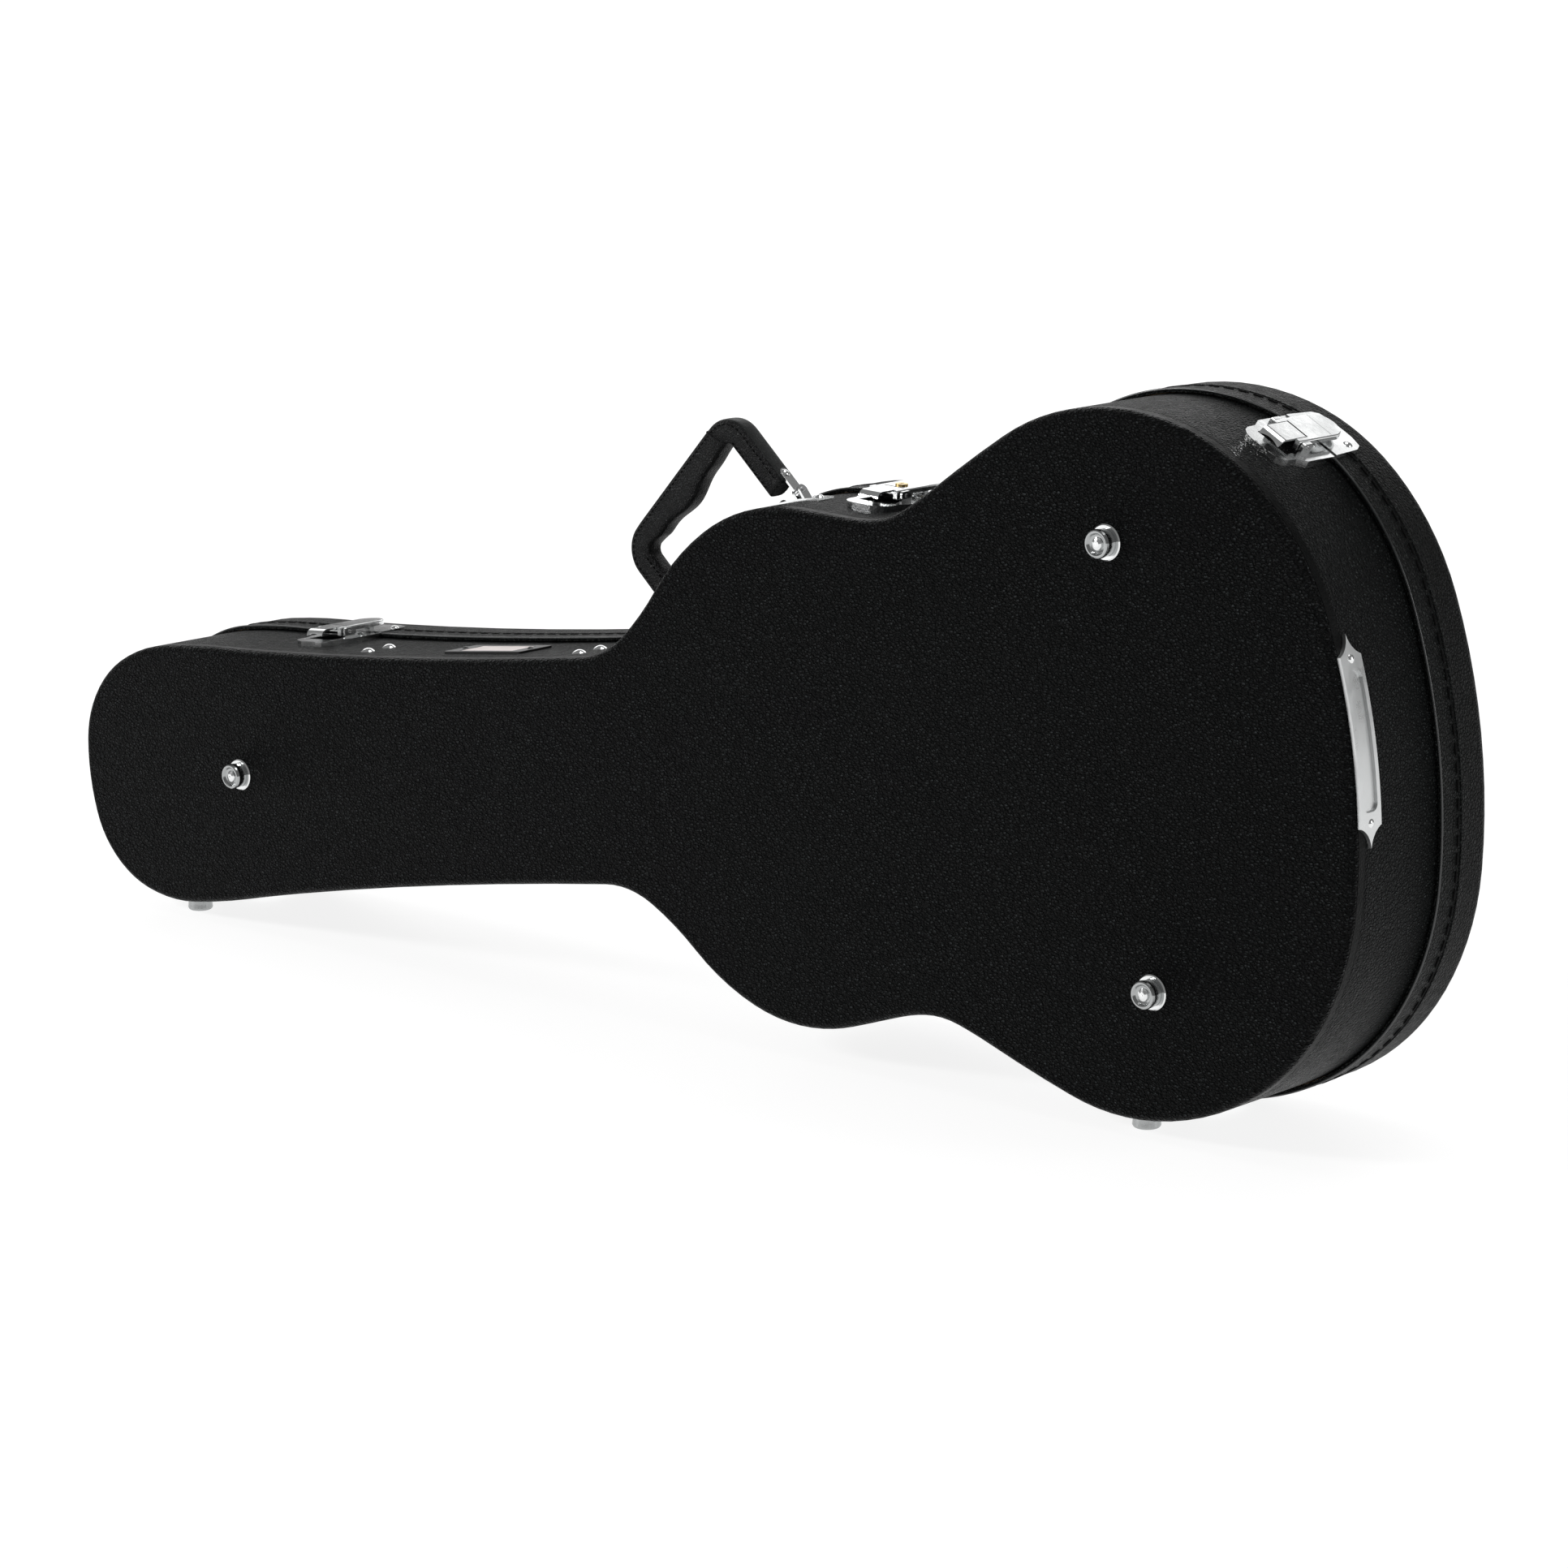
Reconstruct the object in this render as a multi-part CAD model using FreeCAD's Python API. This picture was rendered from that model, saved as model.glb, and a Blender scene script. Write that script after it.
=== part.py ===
"""Shaped hard-shell guitar case, standing on its hinge side.

Case frame (used while modelling): X along the case from the head end to the
butt end, Y from the base face towards the lid, Z across the case with 0 on
its centreline.  Every finished piece is then turned about Y and moved so that
the side feet stand level on Z = 0.
"""
import FreeCAD, Part
import math
import os

V = FreeCAD.Vector

# ---------------------------------------------------------------- driving sizes (mm)
# Half outline of the base rim: distance from the head end, half width, heading in degrees.
RIM_NODES = [
    (0, 0, 90),           # middle of the head end
    (12, 50, 57),         # head corner
    (92, 88, 0),          # widest point of the head
    (200, 81, -4),        # start of the neck
    (484, 71.5, 0),       # end of the neck
    (556, 112, 47),       # shoulder
    (654, 158, 0),        # upper bout
    (700, 151.8, -11),
    (736, 147, 0),        # waist
    (785, 163.7, 28),
    (899, 203.7, 0),      # lower bout
    (1020, 147, -52),     # butt corner
    (1060, 0, -90),       # middle of the butt end
]
VINYL = 1.2               # covering thickness
FACE_Y = -3.0             # outside of the base face
BASE_EDGE_Y = 88.0        # open edge of the base wall
LIP_Y = 78.0              # near edge of the lid's lip, which overlaps the base wall
LID_EDGE_Y = 88.6         # open edge of the lid wall
BACK_Y = 127.0            # outside of the lid
LID_PROUD = 3.0           # lid wall stands this far outside the base wall
LIP_GAP = 0.8             # clearance between the lip and the base wall
PLY = 5.0                 # wall plywood
BASE_PANEL = 4.0          # panel plywood
BASE_ROUND = 4.5          # rounded edge of the base face
LID_ROUND = 9.0           # rounded edge of the lid
CREASE_Y = 1.6            # the face covering wraps round the edge as far as this
CREASE_GAP = 0.5          # crease between the two coverings
SEAT = 0.03               # hairline between a fitting and the surface under it
FLOOR_PAD = 9.0
WALL_PAD = 7.0
PAD_GAP = 0.4
RIM_LEDGE = 4.0           # bare wood left at the mouth, above each wall pad
ACROSS = 120.0            # more than half the width at the neck

# feet
FOOT_FLANGE_R = 10.5
FOOT_CUP_R = 8.5
FOOT_HEIGHT = 9.5
FOOT_FLANGE_T = 1.2
BASE_FEET_XZ = [(158, 0), (909, 128), (909, -128)]
SIDE_FEET_Y = 20.0
LID_FEET_Y = 108.0

# hinge line
HINGE_Y = 75.0
KNUCKLE_R = 2.8
HINGE_PIN_R = 1.3
HINGE_DROP = 3.2          # pin centre below the lowest line of the base wall
HINGE_LENGTH = 40.0
LEAF_T = 1.2
LEAF_REACH = 13.0
KNUCKLE_ROOM = 0.35       # clearance around a neighbour's knuckle
KNUCKLE_END_ROOM = 0.2    # and at its ends
PIN_PROUD = 0.8

# latches: distance from the head end of each one's middle
LATCHES = [("head", 204.0), ("waist", 702.0), ("bout", 995.0)]
PIN_Y = 56.0              # lever pin
PIN_N = 7.2
PIN_R = 1.2
PIN_CLEAR = 0.05
TRAY_TOP = 3.4
SHEET = 1.0
COVER_TOP = 10.4
COVER_T = 1.2
COVER_ROUND = 0.9         # rounded upper edge of the hasp
LIP_R = 5.0               # curled near end of the lever
LIP_DROP = 4.2            # how far the curl comes down
BITE_R = 16.0             # finger hollow in the curl
BITE_DEPTH = 1.4
GROOVE_Y = 81.0           # pressed line across the hasp
GROOVE = 0.35
KEEPER_T = 1.2
LOCK_Y = 67.0
LOCK_R = 3.0

# handle: the C shape lies in a plane of constant Y
HANDLE_Y = 42.0
HANDLE_FOOT = (626.0, 160.0)     # lower end of the arm nearest the butt, inner face
HANDLE_ANGLE = 39.4              # direction of the grip in the case frame
HANDLE_SPAN = 131.0
HANDLE_RISE = 63.0
HANDLE_ARM = 16.0
HANDLE_DEPTH = 15.0
HANDLE_CORNER_R = 20.0
HANDLE_LEFT_END = 18.5           # lower end of the arm nearest the head
HANDLE_RIGHT_END = 0.5           # and of the arm nearest the butt
STRAP_FEET_X = {"head": 532.0, "body": 645.0}   # where the two pivots stand on the wall
PIVOT_LIFT = 5.4                 # pivot height above the wall
LOOP_R = 1.5
STRAP_T = 1.4
STRAP_HALF = 3.8
EYE_R = 3.4
BRACKET_T = 1.4
BRACKET_HALF = 20.0
BRACKET_RIVET_U = 14.5

# fittings on the wall
NAMEPLATE_X = 373.0
NAMEPLATE_Y = 39.5
NAMEPLATE_SIZE = (70.0, 30.0)
BULKHEADS_X = (268.0, 461.0)
BULKHEAD_RIVETS_Y = (24.0, 43.0)
BULKHEAD_T = 6.0
BOX_DEPTH = 52.0
BOX_HINGE_Z = -52.0
BOX_LID_T = 4.0
BOX_ROD_R = 1.0
CRADLE_LENGTH = 42.0
CRADLE_TOP = 74.0
CRADLE_NOTCH_R = 31.0
BUTT_PLATE_Z = 12.0
BUTT_PLATE_LENGTH = 118.0
BUTT_PLATE_Y = (1.0, 20.5)
BUTT_PLATE_T = 2.3
CHANNEL_HALF = 6.6        # half the width of the pressed channel
CHANNEL_END = 8.0         # plain plate left between the channel and each pointed end
CHANNEL_FLOOR = 0.6


# ---------------------------------------------------------------- outline
def unit(angle):
    return (math.cos(angle), math.sin(angle))


def arc_middle(start, heading, end):
    """Middle point and end heading of the arc that leaves start at heading and reaches end."""
    dx = end[0] - start[0]
    dz = end[1] - start[1]
    chord = math.atan2(dz, dx)
    half_turn = chord - heading
    length = math.hypot(dx, dz)
    sagitta = 0.5 * length * math.tan(half_turn / 2)
    normal = unit(chord - math.pi / 2)
    middle = (start[0] + dx / 2 + normal[0] * sagitta, start[1] + dz / 2 + normal[1] * sagitta)
    return middle, chord, heading + 2 * half_turn


def biarc_joint(start, heading0, end, heading1):
    """Meeting point of two tangent arcs that join two headed points."""
    t0 = unit(heading0)
    t1 = unit(heading1)
    vx = end[0] - start[0]
    vz = end[1] - start[1]
    dot_sum = vx * (t0[0] + t1[0]) + vz * (t0[1] + t1[1])
    square = vx * vx + vz * vz
    spread = 2 * (1 - t0[0] * t1[0] - t0[1] * t1[1])
    if spread < 1e-9:
        reach = square / (4 * (vx * t1[0] + vz * t1[1]))
    else:
        reach = (-dot_sum + math.sqrt(dot_sum ** 2 + spread * square)) / spread
    return (
        (start[0] + end[0] + reach * (t0[0] - t1[0])) / 2,
        (start[1] + end[1] + reach * (t0[1] - t1[1])) / 2,
    )


def half_outline():
    """Arcs from the head end to the butt end as (start, middle, end), each (x, z, heading)."""
    arcs = []
    for first, second in zip(RIM_NODES[:-1], RIM_NODES[1:]):
        heading0 = math.radians(first[2])
        heading1 = math.radians(second[2])
        joint = biarc_joint(first[:2], heading0, second[:2], heading1)
        middle, chord, turn = arc_middle(first[:2], heading0, joint)
        arcs.append(((*first[:2], heading0), (*middle, chord), (*joint, turn)))
        middle, chord, _ = arc_middle(joint, turn, second[:2])
        arcs.append(((*joint, turn), (*middle, chord), (*second[:2], heading1)))
    return arcs


HALF = half_outline()


def moved_out(point, offset, side):
    """A point of the outline moved out along its normal, on the +Z or -Z half."""
    x, z, heading = point
    nx, nz = unit(heading + math.pi / 2)
    return (x + nx * offset, side * (z + nz * offset))


def outline_edges(offset, y):
    edges = []
    for side in (1, -1):
        for start, middle, end in HALF:
            a, b, c = (moved_out(p, offset, side) for p in (start, middle, end))
            edges.append(Part.Arc(V(a[0], y, a[1]), V(b[0], y, b[1]), V(c[0], y, c[1])).toShape())
    return edges


def prism(offset, y0, y1):
    """Solid with the outline's shape between two depths."""
    wire = Part.Wire(Part.__sortEdges__(outline_edges(offset, y0)))
    return Part.Face(wire).extrude(V(0, y1 - y0, 0))


def ring(outer, inner, y0, y1):
    return prism(outer, y0, y1).cut(prism(inner, y0 - 1, y1 + 1))


def rounded_prism(offset, y0, y1, radius, round_y):
    """Prism whose edge at round_y is rounded."""
    body = prism(offset, y0, y1)
    rim = [e for e in body.Edges if all(abs(v.Y - round_y) < 1e-6 for v in e.Vertexes)]
    return body.makeFillet(radius, rim)


def wall_point(x):
    """Point and heading of the upper half outline at a distance from the head end."""
    for start, middle, end in HALF:
        if start[0] <= x <= end[0]:
            centre, radius = circle_through(start, middle, end)
            drop = math.sqrt(radius ** 2 - (x - centre[0]) ** 2)
            above = middle[1] > centre[1]
            z = centre[1] + drop if above else centre[1] - drop
            radial = math.atan2(z - centre[1], x - centre[0])
            heading = radial - math.pi / 2 if above else radial + math.pi / 2
            return x, z, heading
    raise ValueError(x)


def circle_through(a, b, c):
    ax, az = a[0] - c[0], a[1] - c[1]
    bx, bz = b[0] - c[0], b[1] - c[1]
    cross = 2 * (ax * bz - az * bx)
    aa = ax * ax + az * az
    bb = bx * bx + bz * bz
    x = (bz * aa - az * bb) / cross
    z = (ax * bb - bx * aa) / cross
    return (x + c[0], z + c[1]), math.hypot(x, z)


# ---------------------------------------------------------------- stance
def contact_pair():
    """Points of the -Z half outline that a straight floor touches, and the floor's slope."""
    samples = [wall_point(1.0 + 0.25 * i) for i in range(4230)]
    slope = math.radians(8)
    for _ in range(12):
        reach = [(x * math.sin(-slope) + z * math.cos(slope), x, z) for x, z, _ in samples]
        head = max(r for r in reach if r[1] < 200)
        bout = max(r for r in reach if r[1] > 800)
        slope = math.atan2(bout[2] - head[2], bout[1] - head[1])
    return (head[1], head[2]), (bout[1], bout[2]), slope


HEAD_CONTACT, BOUT_CONTACT, TILT = contact_pair()
DOWN = V(-math.sin(TILT), 0, -math.cos(TILT))      # the floor's direction in the case frame
ALONG = V(math.cos(TILT), 0, -math.sin(TILT))      # level direction towards the butt


def below(contact, drop, y):
    """Case-frame point at a distance straight below a contact point."""
    return V(contact[0], y, -contact[1]) + DOWN * drop


# ---------------------------------------------------------------- placing helpers
def box(x0, x1, y0, y1, z0, z1):
    return Part.makeBox(x1 - x0, y1 - y0, z1 - z0, V(x0, y0, z0))


def on_wall(shape, x, offset=0.0):
    """Move a piece modelled on u, y, n axes to the upper wall at x."""
    px, pz, heading = wall_point(x)
    nx, nz = unit(heading + math.pi / 2)
    turn = FreeCAD.Rotation(V(0, 1, 0), -math.degrees(heading))
    place = FreeCAD.Placement(V(px + nx * offset, 0, pz + nz * offset), turn)
    return shape.transformed(place.toMatrix(), True)


def at_contact(shape, contact, drop=0.0):
    """Move a piece modelled on along, y, up axes to a contact point of the lower wall."""
    turn = FreeCAD.Rotation(ALONG, V(0, 1, 0), DOWN * -1, "XYZ")
    place = FreeCAD.Placement(below(contact, drop, 0), turn)
    return shape.transformed(place.toMatrix(), True)


def polygon_prism(points, low, high):
    """Closed polygon in the u, y plane raised between two heights."""
    corners = [V(u, y, low) for u, y in points]
    wire = Part.makePolygon(corners + corners[:1])
    return Part.Face(wire).extrude(V(0, 0, high - low))


def mirrored(points):
    return points + [(-u, y) for u, y in reversed(points)]


def dome(radius, height, base=V(0, 0, 0), axis=V(0, 0, 1)):
    """Low spherical rivet head standing on base."""
    ball = (radius ** 2 + height ** 2) / (2 * height)
    half_angle = math.asin(radius / ball) / 2
    middle = V(ball * math.sin(half_angle), 0, height - ball + ball * math.cos(half_angle))
    edges = [
        Part.LineSegment(V(0, 0, 0), V(radius, 0, 0)).toShape(),
        Part.Arc(V(radius, 0, 0), middle, V(0, 0, height)).toShape(),
        Part.LineSegment(V(0, 0, height), V(0, 0, 0)).toShape(),
    ]
    return spun(Part.Face(Part.Wire(edges)), base, axis)


def spun(face, base, axis):
    """Revolve a face about its own Z and stand it on base along axis."""
    solid = face.revolve(V(0, 0, 0), V(0, 0, 1), 360)
    place = FreeCAD.Placement(base, FreeCAD.Rotation(V(0, 0, 1), axis))
    return solid.transformed(place.toMatrix(), True)


def rivet(radius, height, shank, base, axis):
    """Domed head with a short shank that goes down through the piece it holds."""
    stem = Part.makeCylinder(radius * 0.45, shank + 0.2, base - axis * shank, axis)
    return dome(radius, height, base, axis).fuse(stem).removeSplitter()


def turned(profile, base, axis):
    """Solid of revolution from (radius, height) points, standing on base along axis."""
    points = [V(r, 0, h) for r, h in profile]
    return spun(Part.Face(Part.makePolygon(points + points[:1])), base, axis)


# ---------------------------------------------------------------- shells
def base_shell():
    outer = rounded_prism(0, FACE_Y, BASE_EDGE_Y, BASE_ROUND, FACE_Y)
    core = rounded_prism(-VINYL, FACE_Y + VINYL, BASE_EDGE_Y, BASE_ROUND - VINYL, FACE_Y + VINYL)
    skin = outer.cut(core)
    panel_top = FACE_Y + VINYL + BASE_PANEL
    panel = core.common(prism(5, FACE_Y - 1, panel_top))
    wall = core.cut(prism(-VINYL - PLY, FACE_Y - 2, BASE_EDGE_Y + 1)).cut(panel)
    face_cover = skin.common(prism(5, FACE_Y - 1, CREASE_Y))
    wall_cover = skin.cut(prism(5, FACE_Y - 1, CREASE_Y + CREASE_GAP))
    inner = -VINYL - PLY - PAD_GAP
    pad = prism(inner, panel_top + PAD_GAP, panel_top + FLOOR_PAD)
    wall_pad = ring(inner, inner - WALL_PAD, panel_top + FLOOR_PAD + PAD_GAP, BASE_EDGE_Y - RIM_LEDGE)
    for x in BULKHEADS_X:
        slot = box(x - BULKHEAD_T / 2 - 1, x + BULKHEAD_T / 2 + 1, 0, BOX_DEPTH + 20, -ACROSS, ACROSS)
        pad = pad.cut(slot)
        wall_pad = wall_pad.cut(slot)
    # the floor pad stops at the accessory box, whose own floor stays bare
    pad = pad.cut(box(*BULKHEADS_X, 0, BOX_DEPTH, -ACROSS, ACROSS))
    return {
        "base_panel": panel,
        "base_side_wall": wall,
        "base_face_cover": face_cover,
        "base_wall_cover": wall_cover,
        "base_floor_pad": pad,
        "base_wall_pad": wall_pad,
    }


def lid_shell():
    outer = rounded_prism(LID_PROUD, LID_EDGE_Y, BACK_Y, LID_ROUND, BACK_Y)
    wood_out = LID_PROUD - VINYL
    back_wood = BACK_Y - VINYL
    core = rounded_prism(wood_out, LID_EDGE_Y, back_wood, LID_ROUND - VINYL, back_wood)
    cover = outer.cut(core)
    panel_low = back_wood - BASE_PANEL
    panel = core.common(prism(6, panel_low, BACK_Y + 1))
    wall = core.cut(prism(wood_out - PLY, LID_EDGE_Y - 1, BACK_Y + 1)).cut(panel)
    lip = ring(LID_PROUD, LIP_GAP, LIP_Y, LID_EDGE_Y)
    pad = prism(wood_out - PLY - PAD_GAP, panel_low - FLOOR_PAD, panel_low - PAD_GAP)
    inner = wood_out - PLY - PAD_GAP
    wall_pad = ring(inner, inner - WALL_PAD, LID_EDGE_Y + RIM_LEDGE, panel_low - FLOOR_PAD - PAD_GAP)
    return {
        "lid_panel": panel,
        "lid_side_wall": wall,
        "lid_cover": cover,
        "lid_lip": lip,
        "lid_pad": pad,
        "lid_wall_pad": wall_pad,
    }


# ---------------------------------------------------------------- feet
def foot_flange(base, axis):
    return turned([(2.2, 0), (FOOT_FLANGE_R, 0), (FOOT_FLANGE_R, 0.5), (FOOT_FLANGE_R - 0.7, FOOT_FLANGE_T),
                   (2.2, FOOT_FLANGE_T)], base, axis)


def foot_cup(base, axis, height):
    """Cup with a rolled rim and a sunk floor around the rivet."""
    r = FOOT_CUP_R
    start = FOOT_FLANGE_T
    return turned([(2.2, start), (r - 1.2, start), (r - 0.6, start + 0.6), (r, height - 1.6),
                   (r - 0.5, height - 0.5), (r - 1.1, height), (r - 1.9, height), (r - 2.4, height - 0.4),
                   (r - 3.2, height - 1.5), (2.2, height - 2.2)], base, axis)


def foot_rivet(base, axis, height):
    """Rivet down the middle of the foot, its head just inside the cup."""
    low = height - 2.1
    return turned([(0, 0), (2.1, 0), (2.1, low), (3.9, low + 0.3), (3.4, low + 1.1),
                   (1.8, low + 1.7), (0, low + 1.8)], base, axis)


def feet():
    spots = [(V(x, FACE_Y - SEAT, z), V(0, -1, 0)) for x, z in BASE_FEET_XZ]
    for contact in (HEAD_CONTACT, BOUT_CONTACT):
        spots.append((below(contact, SEAT, SIDE_FEET_Y), DOWN))
    low = FOOT_HEIGHT - LID_PROUD
    lid_spots = [(below(c, LID_PROUD + SEAT, LID_FEET_Y), DOWN) for c in (HEAD_CONTACT, BOUT_CONTACT)]
    lid_feet = []
    for spot, axis in lid_spots:
        lid_feet += [foot_flange(spot, axis), foot_cup(spot, axis, low), foot_rivet(spot, axis, low)]
    return {
        "foot_flanges": Part.Compound([foot_flange(*s) for s in spots]),
        "foot_cups": Part.Compound([foot_cup(*s, FOOT_HEIGHT) for s in spots]),
        "foot_rivets": Part.Compound([foot_rivet(*s, FOOT_HEIGHT) for s in spots]),
        "lid_feet": Part.Compound(lid_feet),
    }


# ---------------------------------------------------------------- hinges
def leaf(y0, y1, top):
    """Flat of a hinge leaf, the full length of the hinge."""
    half = HINGE_LENGTH / 2
    return box(-half, half, y0, y1, top - LEAF_T, top)


def knuckle_blanks(radius, spare):
    """The two outer knuckles and the middle one, a third of the hinge each."""
    half = HINGE_LENGTH / 2
    third = HINGE_LENGTH / 3
    starts = (-half, -half + third, half - third)
    return [
        Part.makeCylinder(radius, third + 2 * spare, V(start - spare, HINGE_Y, 0), V(1, 0, 0))
        for start in starts
    ]


def hinge():
    """Base leaf, lid leaf and pin about an axis at height 0, HINGE_DROP below the base wall."""
    wall = HINGE_DROP - SEAT
    lip = wall - LID_PROUD
    near = HINGE_Y - KNUCKLE_R - 0.4
    far = HINGE_Y + KNUCKLE_R + 0.6
    base_leaf = leaf(near - LEAF_REACH, HINGE_Y, wall)
    lid_leaf = leaf(HINGE_Y, far + LEAF_REACH, lip - 0.05)
    first, middle, last = knuckle_blanks(KNUCKLE_R, 0)
    room_first, room_middle, room_last = knuckle_blanks(KNUCKLE_R + KNUCKLE_ROOM, KNUCKLE_END_ROOM)
    past_pin = box(-HINGE_LENGTH, HINGE_LENGTH, HINGE_Y, HINGE_Y + 20, -9, 9)
    before_pin = box(-HINGE_LENGTH, HINGE_LENGTH, HINGE_Y - 20, HINGE_Y, -9, 9)
    bore = Part.makeCylinder(HINGE_PIN_R + PIN_CLEAR, 80, V(-40, HINGE_Y, 0), V(1, 0, 0))
    base_leaf = base_leaf.cut(room_middle).cut(past_pin).fuse(first).fuse(last).cut(bore)
    lid_leaf = lid_leaf.cut(room_first).cut(room_last).cut(before_pin).fuse(middle).cut(bore)
    reach = HINGE_LENGTH / 2 + PIN_PROUD
    pin = Part.makeCylinder(HINGE_PIN_R, 2 * reach, V(-reach, HINGE_Y, 0), V(1, 0, 0))
    return base_leaf.removeSplitter(), lid_leaf.removeSplitter(), pin


def hinges():
    """A hinge at each line where the lower wall comes down to the hinge axis."""
    nodes = {}
    pins = []
    base_body = prism(SEAT, FACE_Y, BASE_EDGE_Y)
    lid_body = prism(LID_PROUD + SEAT, LIP_Y - 0.1, BACK_Y)
    for name, contact in (("head", HEAD_CONTACT), ("bout", BOUT_CONTACT)):
        base_leaf, lid_leaf, pin = hinge()
        nodes["hinge_%s_base_leaf" % name] = at_contact(base_leaf, contact, HINGE_DROP).cut(base_body)
        nodes["hinge_%s_lid_leaf" % name] = at_contact(lid_leaf, contact, HINGE_DROP).cut(lid_body)
        pins.append(at_contact(pin, contact, HINGE_DROP))
    nodes["hinge_pins"] = Part.Compound(pins)
    return nodes


# ---------------------------------------------------------------- latches
TRAY_HALF = [(7, 30), (11.5, 31.2), (14.6, 33.8), (16.2, 37.5), (16.5, 45), (20, 52), (20, LIP_Y - 0.5)]
KEEPER_HALF = [(20, LIP_Y + 0.3), (18.6, 100), (16, 105), (8, 107.5)]
ARM_OUT = 10.8
ARM_IN = 7.9
EAR_IN = 11.4
EAR_OUT = 13.4


def shrunk(points, inset):
    """Half outline of a tray moved in by the sheet's thickness."""
    low = points[0][1]
    high = points[-1][1]
    return [(u - inset, min(max(y, low + inset), high - inset)) for u, y in points]


def latch_tray():
    """Stamped base plate with turned-down edges, a window and two lugs for the pin."""
    outer = polygon_prism(mirrored(TRAY_HALF), -3, TRAY_TOP)
    inner = polygon_prism(mirrored(shrunk(TRAY_HALF, SHEET)), -4, TRAY_TOP - SHEET)
    window = box(-ARM_OUT - 0.4, ARM_OUT + 0.4, 41, 63, -5, 20)
    tray = outer.cut(inner).cut(window)
    for side in (1, -1):
        u0 = EAR_IN if side > 0 else -EAR_OUT
        lug = box(u0, u0 + EAR_OUT - EAR_IN, PIN_Y - 4.5, PIN_Y + 4.5, TRAY_TOP - SHEET, PIN_N + 2.6)
        corner = [e for e in lug.Edges if abs(e.BoundBox.ZMin - PIN_N - 2.6) < 1e-6
                  and e.BoundBox.XLength > 1 and e.BoundBox.YLength < 0.1]
        tray = tray.fuse(lug.makeFillet(2.2, corner))
    return tray.cut(pin_cylinder(PIN_R)).removeSplitter()


def pin_cylinder(radius):
    return Part.makeCylinder(radius, 60, V(-30, PIN_Y, PIN_N), V(1, 0, 0))


def latch_paddle():
    """Lever plate with a curled lip and a barrel on the pin."""
    under = COVER_TOP - COVER_T
    plate = box(-7.4, 7.4, 41, PIN_Y + 3.4, under, COVER_TOP)
    barrel = Part.makeCylinder(2.3, 14.8, V(-7.4, PIN_Y, PIN_N), V(1, 0, 0))
    web = box(-7.4, 7.4, PIN_Y - 1.6, PIN_Y + 1.6, PIN_N, under + 0.2)
    curl = Part.makeCylinder(LIP_R, 14.8, V(-7.4, 41, COVER_TOP - LIP_R), V(1, 0, 0))
    hollow = Part.makeCylinder(LIP_R - COVER_T, 16, V(-8, 41, COVER_TOP - LIP_R), V(1, 0, 0))
    curl = curl.cut(hollow).common(box(-8, 8, 35, 41.01, COVER_TOP - LIP_DROP, COVER_TOP + 1))
    bite_middle = COVER_TOP - LIP_DROP + BITE_DEPTH - BITE_R
    bite = Part.makeCylinder(BITE_R, 8, V(0, 34, bite_middle), V(0, 1, 0))
    paddle = plate.fuse(barrel).fuse(web).fuse(curl)
    paddle = paddle.cut(bite.common(box(-8, 8, 34, 40.6, -10, COVER_TOP)))
    return paddle.cut(pin_cylinder(PIN_R + PIN_CLEAR)).removeSplitter()


def latch_hasp(locked):
    """Cover that reaches across the parting line, with two arms on the pin."""
    under = COVER_TOP - COVER_T
    far = 96.0
    plan = box(-ARM_OUT, ARM_OUT, PIN_Y - 6, far - ARM_OUT, 4.8, COVER_TOP)
    plan = plan.fuse(Part.makeCylinder(ARM_OUT, COVER_TOP - 4.8, V(0, far - ARM_OUT, 4.8)))
    plan = plan.removeSplitter()
    top = [e for e in plan.Edges if e.BoundBox.ZMin > COVER_TOP - 1e-6 and e.BoundBox.YMax > PIN_Y]
    plan = plan.makeFillet(COVER_ROUND, top)
    shell = plan.cut(box(-ARM_OUT + 2.9, ARM_OUT - 2.9, PIN_Y - 7, 62, 0, 20))
    hollow = box(-ARM_OUT + COVER_T, ARM_OUT - COVER_T, 62.4, far - ARM_OUT, 0, under)
    hollow = hollow.fuse(Part.makeCylinder(ARM_OUT - COVER_T, under, V(0, far - ARM_OUT, 0)))
    shell = shell.fuse(box(-ARM_IN - 0.1, ARM_IN + 0.1, PIN_Y + 4.8, 62.5, under, COVER_TOP)).cut(hollow)
    clear_lid = box(-30, 30, 64, 130, 0, 7.2)
    shell = shell.cut(clear_lid)
    shell = shell.cut(box(-30, 30, GROOVE_Y, GROOVE_Y + GROOVE, COVER_TOP - GROOVE, COVER_TOP + 1))
    shell = shell.cut(pin_cylinder(PIN_R + PIN_CLEAR))
    if locked:
        shell = shell.cut(Part.makeCylinder(LOCK_R + PIN_CLEAR, 20, V(0, LOCK_Y, 0)))
    return shell.removeSplitter()


def latch_keeper():
    """Plate on the lid with a raised catch under the hasp."""
    plate = polygon_prism(mirrored(KEEPER_HALF), -4, KEEPER_T)
    catch = box(-6.5, 6.5, LIP_Y + 3, LIP_Y + 6.5, 0, 3.6)
    return plate.fuse(catch).removeSplitter()


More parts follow.
